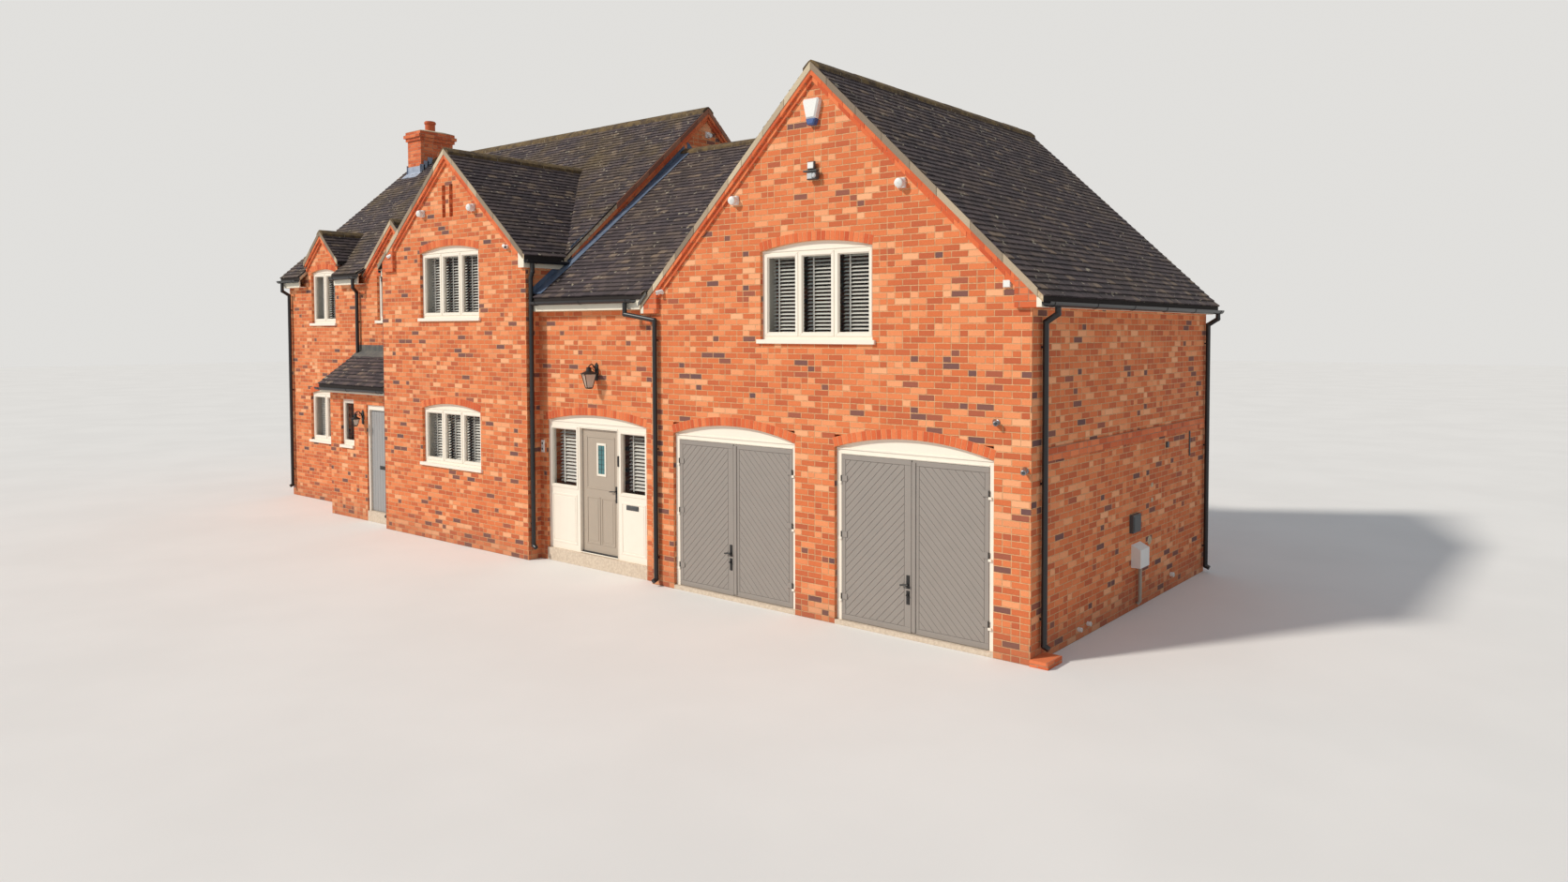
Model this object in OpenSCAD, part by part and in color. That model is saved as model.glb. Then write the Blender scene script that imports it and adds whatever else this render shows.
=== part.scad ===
/* [Garage wing] */
// Width of the garage wing along the front
garage_w = 6120; // [5800:10:6600]
// Depth of the garage wing from front to back
garage_d = 5600; // [5400:10:6200]
// Height of the garage roof where its two slopes meet
garage_apex = 7000; // [6800:10:7200]
// Rise of the garage roof for each unit of run
garage_slope = 0.918; // [0.86:0.01:0.98]

/* [Link wing] */
// Width of the link between the garage and the main house
link_w = 2760; // [2700:10:3000]
// How far the link front stands behind the garage front
link_back = 90; // [60:5:150]
// Distance of the link ridge behind the garage front
link_ridge_y = 3300; // [3200:10:3400]
// Height of the link roof where its slopes meet
link_apex = 6990; // [6900:10:7000]
// Height of the link roof over the outside of its wall
link_wall_top = 4330; // [4280:10:4380]

/* [Cross gable] */
// Width of the gabled bay at the right end of the main house
cross_w = 4390; // [4200:10:4600]
// How far the gabled bay stands in front of the garage front
cross_forward = 150; // [120:5:200]
// Height of the bay roof where its slopes meet
cross_apex = 6760; // [6700:10:6850]
// Rise of the bay roof for each unit of run
cross_slope = 0.84; // [0.82:0.005:0.87]

/* [Main house] */
// Width of the main front left of the gabled bay
main_left_w = 5630; // [5500:10:5900]
// How far the main front stands behind the garage front
main_back = 705; // [680:5:760]
// Depth of the main house from front to back
main_d = 6260; // [6100:10:6400]
// Height of the main roof where its slopes meet
main_apex = 7850; // [7750:10:7900]
// Rise of the main roof for each unit of run
main_slope = 0.911; // [0.89:0.005:0.93]

/* [Porch] */
// Width of the lean-to porch from its left wall to the bay
porch_w = 2480; // [2400:10:2600]
// How far the porch front stands in front of the main front
porch_out = 655; // [620:5:700]
// Height of the porch roof at the main wall
porch_top = 3240; // [3200:10:3300]
// Rise of the porch roof for each unit of run
porch_slope = 0.75; // [0.7:0.01:0.8]

/* [Gablets] */
// Centre of the left gablet, from the left end of the house
gablet_1_in = 1550; // [1500:10:1650]
// Half the span of the left gablet roof
gablet_1_half = 760; // [720:10:800]
// Height of the left gablet where its slopes meet
gablet_1_apex = 5800; // [5750:10:5850]
// Centre of the right gablet, from the left end of the house
gablet_2_in = 4475; // [4470:5:4480]
// Half the span of the right gablet roof
gablet_2_half = 1155; // [1150:5:1160]
// Height of the right gablet where its slopes meet
gablet_2_apex = 5850; // [5800:10:5900]
// Rise of both gablet roofs for each unit of run
gablet_slope = 0.86; // [0.84:0.01:0.9]

/* [Walls and floors] */
// Thickness of the outside walls
wall_t = 300; // [250:5:330]
// Height of the threshold of the house doors
house_floor = 200; // [180:5:230]
// Height of the garage floor
garage_floor = 55; // [40:5:80]
// Height of the top of the first floor
first_floor = 2850; // [2800:10:2900]
// Thickness of the first floor
floor_t = 200; // [180:10:220]
// Length of a brick with its joint
brick_l = 225; // [215:1:240]
// Height of a brick course with its joint
course = 75; // [72:1:80]
// Thickness of the porch walls
porch_wall_t = 215; // [200:5:225]
// Height of the brick arches over doors and windows
ring_h = 120; // [105:5:150]
// Depth of the outer skin of brickwork that carries the arches
ring_d = 102; // [95:1:110]
// Height of the bottom of the string course on the garage side
string_z = 2210; // [2180:5:2240]
// How far the string course stands out
string_out = 25; // [15:1:30]

/* [Roof covering] */
// Upright thickness of the tiled roof covering
tile_t = 75; // [60:5:90]
// How far the tiles run past a gable wall
verge_out = 60; // [40:5:80]
// How far the tiles run past the side walls
eaves_out = 160; // [140:5:180]
// Thickness of the fascia boards
fascia_t = 22; // [18:1:30]
// Depth of the soffit of the garage eaves under the roof over the wall
garage_eaves_h = 271; // [250:1:290]
// Depth of the soffit of the link eaves under the roof over the wall
link_eaves_h = 350; // [330:1:370]
// Depth of the soffit of the bay eaves under the roof over the wall
bay_eaves_h = 240; // [230:1:255]
// Depth of the soffit of the main eaves under the roof over the wall
main_eaves_h = 369; // [340:1:390]
// Depth of the soffit of the porch eaves under the roof over the wall
porch_eaves_h = 289; // [270:1:310]
// Distance of the fascias from the walls
fascia_x = 120; // [100:5:130]
// Distance of the bay fascias from the bay walls
bay_fascia_x = 20; // [15:1:30]
// How far the tiles run past the side walls of the bay
bay_eaves_out = 50; // [45:1:60]
// How far the porch roof runs past its left wall
porch_verge = 130; // [100:5:150]
// Height of one course of the oversailing verge bricks
verge_course = 75; // [70:1:80]
// How far each verge course stands out
verge_step = 28; // [22:1:29]
// How far the kneelers stand out past the side walls
kneeler_out = 80; // [70:5:90]
// How far the kneelers reach in from the side walls
kneeler_in = 190; // [170:5:230]
// Half the girth of a ridge tile seen from its end
ridge_w = 130; // [110:5:140]
// Thickness of the ridge tiles
ridge_t = 22; // [18:1:26]
// Outer radius of the half-round gutters
gutter_r = 56; // [50:1:60]
// Outer radius of the downpipes
pipe_r = 34; // [30:1:40]

/* [Garage doors] */
// Width of each garage doorway
garage_door_w = 2270; // [2200:10:2300]
// Width of the brick pier between the doorways
garage_pier = 650; // [600:10:700]
// Height where the garage door arches spring
garage_spring = 2220; // [2180:5:2250]
// Rise of the garage door arches
garage_rise = 160; // [130:5:180]
// Height of the top of the garage door leaves
leaf_top = 2130; // [2050:5:2150]
// Thickness of the garage door leaves
leaf_t = 45; // [40:1:50]
// Seen width of the garage door jambs
garage_jamb = 75; // [70:1:90]
// Depth of the garage door frames
garage_frame_d = 100; // [90:5:120]

/* [House doors] */
// Width of the entrance screen
entrance_w = 2380; // [2340:10:2400]
// Distance of the entrance screen from the main house
entrance_in = 170; // [150:5:200]
// Height where the entrance arch springs
entrance_spring = 2250; // [2220:5:2280]
// Rise of the entrance arch
entrance_rise = 120; // [100:5:140]
// Distance of the front door leaf from the left of the entrance screen
front_leaf_in = 790; // [780:5:800]
// Width of the front door leaf
front_leaf_w = 870; // [840:5:900]
// Height of a house door leaf
house_leaf_h = 1950; // [1900:5:2000]
// Thickness of a house door leaf
house_leaf_t = 44; // [40:1:50]
// Depth of the house door frames
screen_d = 90; // [80:5:110]
// Seen width of the house door frame members
screen_rail = 60; // [50:1:70]
// Seen width of the posts beside the front door
door_post = 70; // [60:1:80]
// Height of the panels under the side lights
sill_panel = 1000; // [950:10:1050]
// Width of the porch doorway
porch_door_w = 1000; // [960:10:1040]
// Width of the brick pier between the porch doorway and the bay
porch_pier = 60; // [50:1:80]
// Height of the head of the porch door frame
porch_head = 100; // [60:5:120]
// Height of the head of the opening behind the porch
porch_way_top = 2300; // [2280:5:2340]

/* [Windows] */
// Width of the garage gable window
garage_window_w = 1830; // [1750:10:1900]
// Height of the bottom of the garage gable window
garage_window_z = 3500; // [3450:10:3600]
// Height where the garage gable window arch springs
garage_window_spring = 4700; // [4650:10:4750]
// Width of the two windows in the gabled bay
cross_window_w = 1800; // [1700:10:1900]
// Height of the bottom of the lower bay window
lower_sill = 1300; // [1250:10:1350]
// Height where the lower bay window arch springs
lower_spring = 2310; // [2280:10:2340]
// Height of the bottom of the upper bay window
upper_sill = 3840; // [3800:10:3880]
// Height where the upper bay window arch springs
upper_spring = 5030; // [4980:10:5080]
// Rise of the wide window arches
window_rise = 100; // [80:5:120]
// Rise of the narrow window arches
small_rise = 70; // [60:5:80]
// Width of the lower left window of the main front
main_window_w = 1200; // [1150:10:1250]
// Distance of that window from the left end of the house
main_window_in = 1510; // [1480:10:1560]
// Height of the bottom of that window
main_window_z = 1250; // [1220:10:1280]
// Height where the arch of that window springs
main_window_spring = 2320; // [2300:10:2340]
// Width of the left gablet window
gablet_1_window_w = 1050; // [1000:10:1100]
// Height of the bottom of the left gablet window
gablet_1_window_z = 3790; // [3760:10:3820]
// Height where the left gablet window arch springs
gablet_1_window_spring = 4930; // [4900:10:4950]
// Width of the right gablet window
gablet_2_window_w = 1340; // [1300:10:1380]
// Height of the bottom of the right gablet window
gablet_2_window_z = 3830; // [3800:10:3860]
// Height where the right gablet window arch springs
gablet_2_window_spring = 4770; // [4740:10:4800]
// Distance of the first rear window from the left end of the house
rear_window_in = 2000; // [1900:10:2100]
// Distance between the rear windows
rear_window_pitch = 3010; // [2950:10:3050]
// Width of the narrow windows of the rear and left walls
plain_window_w = 1200; // [1150:10:1250]
// Height of the straight sides of the upper rear windows
rear_upper_h = 1000; // [950:10:1050]
// Depth of their springing under the roof over the wall
rear_upper_drop = 700; // [650:10:750]
// Width of the rear window of the link
link_window_w = 1500; // [1450:10:1550]
// Distance of the porch window from the left porch wall
porch_window_in = 680; // [650:5:700]
// Width of the porch window
porch_window_w = 520; // [500:5:540]
// Height of the bottom of the porch window
porch_window_z = 1370; // [1350:5:1390]
// Height of the top of the porch window
porch_window_top = 2330; // [2310:5:2350]
// Seen width of the window frame members
frame_w = 60; // [50:1:70]
// Depth of the window frames
frame_d = 70; // [60:1:80]
// How far the frames stand behind the wall face
reveal = 50; // [40:5:70]
// Height of the window sills
sill_h = 55; // [45:1:60]
// How far the window sills stand out
sill_nose = 35; // [25:1:45]
// How far the window sills run past the window on each side
sill_horn = 45; // [30:5:60]
// Height of the brick slots in the bay gable
slot_h = 550; // [500:10:580]
// Height of the bottom of the brick slots
slot_z = 5620; // [5590:10:5640]
// Width of each brick slot
slot_w = 105; // [95:1:110]
// Distance between the middles of the brick slots
slot_pitch = 225; // [215:5:240]

/* [Chimney] */
// Width of the chimney along the ridge
chimney_w = 580; // [520:10:640]
// Depth of the chimney across the ridge
chimney_d = 830; // [780:10:900]
// Height of the chimney brickwork over the main ridge
chimney_rise = 630; // [600:10:700]
// Distance of the middle of the chimney from the left end of the house
chimney_in = 490; // [480:5:500]
// How far each oversailing course of the chimney stands out
cap_step = 35; // [30:1:45]
// Outer radius of the chimney pot
pot_r = 115; // [105:1:125]
// Height of the chimney pot
pot_h = 300; // [270:5:330]
// Thickness of the chimney pot
pot_t = 22; // [18:1:26]

/* [Wall fittings] */
// Radius of the lantern bodies
lantern_r = 80; // [70:1:90]
// Height of the lantern bodies
lantern_h = 300; // [280:5:320]
// Distance of the lanterns from the wall
lantern_out = 150; // [140:5:160]
// Width of the alarm box
alarm_w = 260; // [240:5:280]
// Height of the alarm box
alarm_h = 330; // [300:5:340]
// Height of the bottom of the alarm box
alarm_z = 6230; // [6200:5:6260]
// Depth of the flood light under the alarm box
lamp_drop = 685; // [660:5:720]
// Distance of the garage sensors from the middle of the gable
sensor_spread = 1350; // [1300:10:1360]
// Depth of the garage sensors under the alarm box
sensor_drop = 895; // [890:5:930]
// Distance of the bay sensors from the middle of the bay
bay_sensor_spread = 770; // [740:10:790]
// Depth of the bay sensors under the top of the bay
bay_sensor_drop = 1100; // [1095:5:1150]
// Width of the meter cover on the garage side
meter_w = 300; // [280:5:320]
// Height of the meter cover
meter_h = 300; // [280:5:320]
// Height of the bottom of the meter cover
meter_z = 570; // [550:10:600]
// Distance of the meter cover from the garage front
meter_y = 2790; // [2750:10:2830]

/* [Hidden] */

ARC_FN = 360;
ROUND_FN = 32;
BIG = 12000;

mouth = 2;
side_gap = 5;
swing_gap = 10;
free_gap = 8;
face_gap = 2;
seat_gap = 0.3;
bed = 0.2;
under_tiles = tile_t + bed;
knuckle_r = 8;
knuckle_h = 70;
pintle_h = 30;
plate_w = 90;

garage_x = -garage_w;
bay_right = garage_x - link_w;
bay_left = bay_right - cross_w;
house_left = bay_left - main_left_w;
bay_front = -cross_forward;
link_front = link_back;
main_front = main_back;
main_rear = main_front + main_d;
main_ridge_y = main_front + main_d / 2;
link_rear = garage_d;
link_slope = (link_apex - link_wall_top) / (link_ridge_y - link_front);
garage_mid = -garage_w / 2;
bay_mid = (bay_left + bay_right) / 2;
porch_left = bay_left - porch_w;
porch_front = main_front - porch_out;
gablet_1_x = house_left + gablet_1_in;
gablet_2_x = house_left + gablet_2_in;

gutter_x = fascia_x + fascia_t;
bay_gutter_x = bay_fascia_x + fascia_t;
corbel_d = 2 * verge_step;
main_wall_top = main_apex - main_slope * main_d / 2;
garage_wall_top = garage_apex - garage_slope * garage_w / 2;
cross_wall_top = cross_apex - cross_slope * cross_w / 2;
link_rear_top = link_apex - link_slope * (link_rear - link_ridge_y);
porch_wall_top = porch_top - porch_slope * porch_out;
garage_soffit = garage_wall_top - garage_eaves_h;
link_soffit = link_wall_top - link_eaves_h;
link_rear_soffit = link_rear_top - link_eaves_h;
bay_soffit = cross_wall_top - bay_eaves_h;
main_soffit = main_wall_top - main_eaves_h;
porch_soffit = porch_wall_top - porch_eaves_h;
kneeler_z = garage_soffit - mouth;
rear_upper_spring = main_wall_top - rear_upper_drop;
rear_upper_z = rear_upper_spring - rear_upper_h;
chimney_top = main_apex + chimney_rise;

west = house_left - verge_out;
east = gutter_x + 2 * gutter_r;
south = bay_front - verge_out;
north = main_rear + gutter_x + 2 * gutter_r;
mid_x = (west + east) / 2;
mid_y = (south + north) / 2;

module placed() {
    translate([-mid_x, -mid_y, 0])
        children();
}

// A box between two corners
module block(x0, x1, y0, y1, z0, z1) {
    translate([x0, y0, z0])
        cube([x1 - x0, y1 - y0, z1 - z0]);
}

// An outline in X and Z, carried from y0 to y1
module along_y(y0, y1) {
    translate([0, y1, 0])
        rotate([90, 0, 0])
            linear_extrude(height = y1 - y0)
                children();
}

// An outline in Y and Z, carried from x0 to x1
module along_x(x0, x1) {
    translate([x0, 0, 0])
        rotate([90, 0, 90])
            linear_extrude(height = x1 - x0)
                children();
}

// Everything under a ridged roof, as an outline about the ridge at c
module under_roof(c, apex, slope, half, drop = 0) {
    polygon([
        [c - half, -BIG], [c - half, apex - drop - slope * half], [c, apex - drop],
        [c + half, apex - drop - slope * half], [c + half, -BIG]]);
}

// The two slopes of a ridged roof, kept a little apart at the ridge
module two_slopes(c, apex, slope, low, high) {
    for (run = [-low, high]) {
        side = sign(run);
        x0 = c + side * mouth / 2;
        x1 = c + run;
        z0 = apex - slope * mouth / 2;
        z1 = apex - slope * abs(run);
        polygon([[x0, z0], [x1, z1], [x1, z1 - tile_t], [x0, z0 - tile_t]]);
    }
}

module under_garage(drop = 0) {
    along_y(-BIG, BIG)
        under_roof(garage_mid, garage_apex, garage_slope, BIG / 2, drop);
}

module under_link(drop = 0) {
    along_x(-2 * BIG, BIG)
        under_roof(link_ridge_y, link_apex, link_slope, BIG / 2, drop);
}

module under_main(drop = 0) {
    along_x(-2 * BIG, BIG)
        under_roof(main_ridge_y, main_apex, main_slope, BIG / 2, drop);
}

module under_bay(drop = 0) {
    along_y(-BIG, BIG)
        under_roof(bay_mid, cross_apex, cross_slope, BIG / 2, drop);
}

module under_gablet(x, apex, half, drop = 0) {
    along_y(-BIG, BIG)
        under_roof(x, apex, gablet_slope, half, drop);
}

// The radius of a segment with a given width and rise
function arc_r(w, rise) = (w * w / 4 + rise * rise) / (2 * rise);

// A doorway or window outline: straight sides and a segmental head
module arched(x, w, z0, spring, rise) {
    r = arc_r(w, rise);
    intersection() {
        translate([x, spring + rise - r])
            circle(r = r, $fn = ARC_FN);
        translate([x - w / 2, z0])
            square([w, spring + 2 * rise - z0]);
    }
}

skewback = 3;

// The wedge from the centre of an arch through its two jambs, just under the springing
module arch_wedge(half_w, r, rise) {
    reach = 1.5;
    z = reach * (r - rise - skewback);
    polygon([[0, 0], [reach * half_w, z], [0, 2 * r], [-reach * half_w, z]]);
}

// The ring of brick over an arched head
module arch_ring(x, w, spring, rise) {
    r = arc_r(w, rise);
    translate([x, spring + rise - r])
        intersection() {
            difference() {
                circle(r = r + ring_h, $fn = ARC_FN);
                circle(r = r, $fn = ARC_FN);
            }
            arch_wedge(w / 2, r, rise);
        }
}

// The outline of an opening together with the brick arch over it
module arched_with_ring(x, w, z0, spring, rise) {
    r = arc_r(w, rise);
    z_cut = (z0 + spring) / 2;
    translate([x - w / 2, z0])
        square([w, spring + rise - z0]);
    intersection() {
        translate([x, spring + rise - r])
            intersection() {
                circle(r = r + ring_h, $fn = ARC_FN);
                arch_wedge(w / 2, r, rise);
            }
        translate([x - w, z_cut])
            square([2 * w, w]);
    }
}

clear = 100;

// A hole through a wall whose face is at y, with a pocket for its brick arch in the outer skin
module arched_hole(y, out, x, w, z0, spring, rise) {
    y_ring = y - out * ring_d;
    y_in = y - out * (wall_t + clear);
    y_far = y + out * clear;
    along_y(min(y_in, y_ring), max(y_in, y_ring))
        arched(x, w, z0, spring, rise);
    along_y(min(y_ring, y_far), max(y_ring, y_far))
        arched_with_ring(x, w, z0, spring, rise);
}

// Each window: centre, width, sill height, springing, rise, number of lights
garage_windows = [
    [garage_mid, garage_window_w, garage_window_z, garage_window_spring, window_rise, 3]];
bay_windows = [
    [bay_mid, cross_window_w, lower_sill, lower_spring, window_rise, 3],
    [bay_mid, cross_window_w, upper_sill, upper_spring, window_rise, 3]];
main_front_windows = [
    [house_left + main_window_in, main_window_w, main_window_z, main_window_spring, small_rise, 2],
    [gablet_1_x, gablet_1_window_w, gablet_1_window_z, gablet_1_window_spring, small_rise, 2],
    [gablet_2_x, gablet_2_window_w, gablet_2_window_z, gablet_2_window_spring, small_rise, 2]];
rear_x = [for (i = [0 : 2]) house_left + rear_window_in + i * rear_window_pitch];
house_rear_windows = concat(
    [for (x = rear_x) [x, cross_window_w, lower_sill, lower_spring, window_rise, 3]],
    [for (x = rear_x) [x, plain_window_w, rear_upper_z, rear_upper_spring, small_rise, 2]]);
link_rear_windows = [
    [(garage_x + bay_right) / 2, link_window_w, lower_sill, lower_spring, window_rise, 2]];
left_windows = [
    [main_ridge_y, plain_window_w, lower_sill, lower_spring, small_rise, 2],
    [main_ridge_y, plain_window_w, upper_sill, upper_spring, small_rise, 2]];
porch_windows = [
    [porch_left + porch_window_in, porch_window_w, porch_window_z, porch_window_top, 0, 1]];

garage_door_x = [for (s = [-1, 1]) garage_mid + s * (garage_pier + garage_door_w) / 2];
entrance_left = bay_right + entrance_in;
entrance_x = entrance_left + entrance_w / 2;
porch_door_x = bay_left - porch_door_w / 2 - porch_pier;

// Window holes and the pockets of their brick arches, in a wall whose face is at y
module window_holes(list, y, out) {
    for (w = list)
        arched_hole(y, out, w[0], w[1], w[2], w[3], w[4]);
}

module window_rings(list, y, out) {
    y_ring = y - out * ring_d;
    for (w = list)
        along_y(min(y_ring, y), max(y_ring, y))
            arch_ring(w[0], w[1], w[3], w[4]);
}

// Turns what is drawn for a front at y = 0 so that it stands on a side wall at x
module turned(x) {
    translate([x, 0, 0])
        mirror([1, -1, 0])
            children();
}

module garage_piers() {
    color("#c06a48") placed() {
        left_in = garage_door_x[0] - garage_door_w / 2;
        right_in = garage_door_x[1] + garage_door_w / 2;
        top = garage_spring - course;
        block(garage_x, left_in, 0, wall_t, 0, top);
        block(garage_mid - garage_pier / 2, garage_mid + garage_pier / 2, 0, wall_t, 0, top);
        block(right_in, 0, 0, wall_t, 0, top);
    }
}

module garage_gable_wall() {
    foot = garage_spring - course;
    color("#c06a48") placed()
        difference() {
            intersection() {
                block(garage_x, 0, 0, wall_t, foot, BIG);
                under_garage(under_tiles);
            }
            window_holes(garage_windows, 0, -1);
            for (x = garage_door_x)
                arched_hole(0, -1, x, garage_door_w, foot - clear, garage_spring, garage_rise);
        }
}

module garage_side(x) {
    intersection() {
        block(x, x + wall_t, wall_t, garage_d - wall_t, 0, BIG);
        under_garage(under_tiles);
    }
}

module garage_side_walls() {
    color("#b86242") placed() {
        garage_side(-wall_t);
        garage_side(garage_x);
    }
}

module garage_rear_wall() {
    color("#b86242") placed()
        difference() {
            intersection() {
                block(garage_x, 0, garage_d - wall_t, garage_d, 0, BIG);
                union() {
                    under_garage(under_tiles);
                    intersection() {
                        under_link(under_tiles);
                        block(garage_x, garage_mid, -BIG, BIG, -1, BIG);
                    }
                }
            }
            window_holes(garage_windows, garage_d, 1);
        }
}

module link_piers() {
    top = entrance_spring - course;
    color("#c06a48") placed() {
        block(bay_right, entrance_left, link_front, link_front + wall_t, 0, top);
        block(entrance_left + entrance_w, garage_x, link_front, link_front + wall_t, 0, top);
    }
}

module link_front_wall() {
    foot = entrance_spring - course;
    color("#c06a48") placed()
        difference() {
            intersection() {
                block(bay_right, garage_x, link_front, link_front + wall_t, foot, BIG);
                under_link(under_tiles);
            }
            arched_hole(link_front, -1, entrance_x, entrance_w, foot - clear,
                        entrance_spring, entrance_rise);
        }
}

module link_rear_wall() {
    color("#b86242") placed()
        difference() {
            intersection() {
                block(bay_right, garage_x, link_rear - wall_t, link_rear, 0, BIG);
                under_link(under_tiles);
            }
            window_holes(link_rear_windows, link_rear, 1);
        }
}

module bay_front_wall() {
    color("#c06a48") placed()
        difference() {
            intersection() {
                block(bay_left, bay_right, bay_front, bay_front + wall_t, 0, BIG);
                under_bay(under_tiles);
            }
            window_holes(bay_windows, bay_front, -1);
            for (side = [-1, 1])
                block(bay_mid + (side * slot_pitch - slot_w) / 2, bay_mid + (side * slot_pitch + slot_w) / 2,
                      bay_front - 1, bay_front + ring_d, slot_z, slot_z + slot_h);
        }
}

module bay_left_wall() {
    color("#b86242") placed()
        intersection() {
            block(bay_left, bay_left + wall_t, bay_front + wall_t, main_front, 0, BIG);
            under_bay(under_tiles);
        }
}

module house_right_wall() {
    color("#b86242") placed()
        intersection() {
            block(bay_right - wall_t, bay_right, bay_front + wall_t, main_rear - wall_t, 0, BIG);
            union() {
                intersection() {
                    under_main(under_tiles);
                    block(bay_left, BIG, main_front, BIG, -1, BIG);
                }
                intersection() {
                    under_bay(under_tiles);
                    block(bay_left, BIG, -BIG, main_front + 1, -1, BIG);
                }
            }
        }
}

module main_front_wall() {
    color("#c06a48") placed()
        difference() {
            intersection() {
                block(house_left, bay_left + wall_t, main_front, main_front + wall_t, 0, BIG);
                union() {
                    under_main(under_tiles);
                    under_gablet(gablet_1_x, gablet_1_apex, gablet_1_half - verge_out, under_tiles);
                    under_gablet(gablet_2_x, gablet_2_apex, gablet_2_half - verge_out, under_tiles);
                }
            }
            window_holes(main_front_windows, main_front, -1);
            block(porch_left + wall_t, bay_left - wall_t, main_front - 1, main_front + wall_t + 1,
                  house_floor, porch_way_top);
        }
}

module house_left_wall() {
    color("#b86242") placed()
        difference() {
            intersection() {
                block(house_left, house_left + wall_t, main_front + wall_t, main_rear - wall_t, 0, BIG);
                under_main(under_tiles);
            }
            turned(house_left)
                window_holes(left_windows, 0, -1);
        }
}

module house_rear_wall() {
    color("#b86242") placed()
        difference() {
            intersection() {
                block(house_left, bay_right, main_rear - wall_t, main_rear, 0, BIG);
                under_main(under_tiles);
            }
            window_holes(house_rear_windows, main_rear, 1);
        }
}

// Everything under the porch roof covering
module under_porch() {
    along_x(-2 * BIG, 0)
        polygon([
            [main_front, -BIG], [main_front, porch_top - under_tiles],
            [main_front - BIG, porch_top - under_tiles - BIG * porch_slope], [main_front - BIG, -BIG]]);
}

porch_back = porch_front + porch_wall_t;
porch_door_left = porch_door_x - porch_door_w / 2;
porch_door_right = porch_door_x + porch_door_w / 2;
porch_door_top = house_floor + house_leaf_h + porch_head;

module porch_piers() {
    w = porch_windows[0];
    color("#c06a48") placed() {
        difference() {
            intersection() {
                union() {
                    block(porch_left, porch_door_left, porch_front, porch_back, 0, BIG);
                    block(porch_left, porch_left + porch_wall_t, porch_front, main_front, 0, BIG);
                }
                under_porch();
            }
            block(w[0] - w[1] / 2, w[0] + w[1] / 2, porch_front - 1, porch_back + 1, w[2], w[3]);
        }
        block(porch_door_right, bay_left, porch_front, porch_back, 0, porch_door_top);
    }
}

module porch_lintel() {
    color("#c06a48") placed()
        intersection() {
            block(porch_door_left, bay_left, porch_front, porch_back, porch_door_top, BIG);
            under_porch();
        }
}

module ground_floors() {
    color("#8d8880") placed() {
        block(garage_x + wall_t, -wall_t, wall_t, garage_d - wall_t, 0, garage_floor);
        block(bay_right, garage_x, link_front + wall_t, link_rear - wall_t, 0, house_floor);
        block(house_left + wall_t, bay_right - wall_t, main_front + wall_t, main_rear - wall_t, 0, house_floor);
        block(bay_left + wall_t, bay_right - wall_t, bay_front + wall_t, main_front + wall_t, 0, house_floor);
        block(porch_left + porch_wall_t, bay_left, porch_back, main_front, 0, house_floor);
        for (x = garage_door_x)
            block(x - garage_door_w / 2, x + garage_door_w / 2, 0, wall_t, 0, garage_floor);
        block(entrance_left, entrance_left + entrance_w, link_front, link_front + wall_t, 0, house_floor);
        block(porch_door_left, porch_door_right, porch_front, porch_back, 0, house_floor);
    }
}

module first_floors() {
    z0 = first_floor - floor_t;
    color("#a98c66") placed() {
        block(garage_x + wall_t, -wall_t, wall_t, garage_d - wall_t, z0, first_floor);
        block(bay_right, garage_x, link_front + wall_t, link_rear - wall_t, z0, first_floor);
        block(house_left + wall_t, bay_right - wall_t, main_front + wall_t, main_rear - wall_t, z0, first_floor);
        block(bay_left + wall_t, bay_right - wall_t, bay_front + wall_t, main_front + wall_t, z0, first_floor);
    }
}

module brick_arches() {
    color("#b5502f") placed() {
        for (x = garage_door_x)
            along_y(0, ring_d)
                arch_ring(x, garage_door_w, garage_spring, garage_rise);
        along_y(link_front, link_front + ring_d)
            arch_ring(entrance_x, entrance_w, entrance_spring, entrance_rise);
        window_rings(garage_windows, 0, -1);
        window_rings(garage_windows, garage_d, 1);
        window_rings(link_rear_windows, link_rear, 1);
        window_rings(bay_windows, bay_front, -1);
        window_rings(main_front_windows, main_front, -1);
        window_rings(house_rear_windows, main_rear, 1);
        turned(house_left)
            window_rings(left_windows, 0, -1);
    }
}

// A brick kneeler under the foot of a verge, on a gable at y that looks to the front
module kneeler(x, side, y, z0, front) {
    x0 = min(x - side * kneeler_in, x + side * kneeler_out);
    x1 = max(x - side * kneeler_in, x + side * kneeler_out);
    block(x0, x1, min(y, y + front * corbel_d), max(y, y + front * corbel_d), z0, BIG);
}

// A band under the rake of a gable, seen square to the gable
module rake(c, apex, slope, half, drop, depth) {
    for (side = [-1, 1])
        polygon([
            [c, apex - drop], [c + side * half, apex - drop - slope * half],
            [c + side * half, apex - drop - slope * half - depth], [c, apex - drop - depth]]);
}

// Two oversailing courses that follow the verges of a gable
module rake_courses(y, front, c, apex, slope, half) {
    for (i = [0, 1]) {
        out = front * verge_step * (2 - i);
        along_y(min(y, y + out), max(y, y + out))
            rake(c, apex, slope, half, under_tiles, verge_course * (i + 1));
    }
}

garage_rake = garage_w / 2 - kneeler_in;
bay_box_w = 110;
bay_kneeler_near = 110;
bay_kneeler_far = 470;

module garage_corbels() {
    rake_courses(0, -1, garage_mid, garage_apex, garage_slope, garage_rake);
    difference() {
        rake_courses(garage_d, 1, garage_mid, garage_apex, garage_slope, garage_rake);
        intersection() {
            under_link(-bed);
            block(-2 * BIG, link_end + mouth, -BIG, BIG, -BIG, BIG);
        }
    }
    intersection() {
        union() {
            kneeler(0, 1, 0, kneeler_z, -1);
            kneeler(garage_x, -1, 0, kneeler_z, -1);
            kneeler(0, 1, garage_d, kneeler_z, 1);
        }
        under_garage(under_tiles);
    }
}

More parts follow.
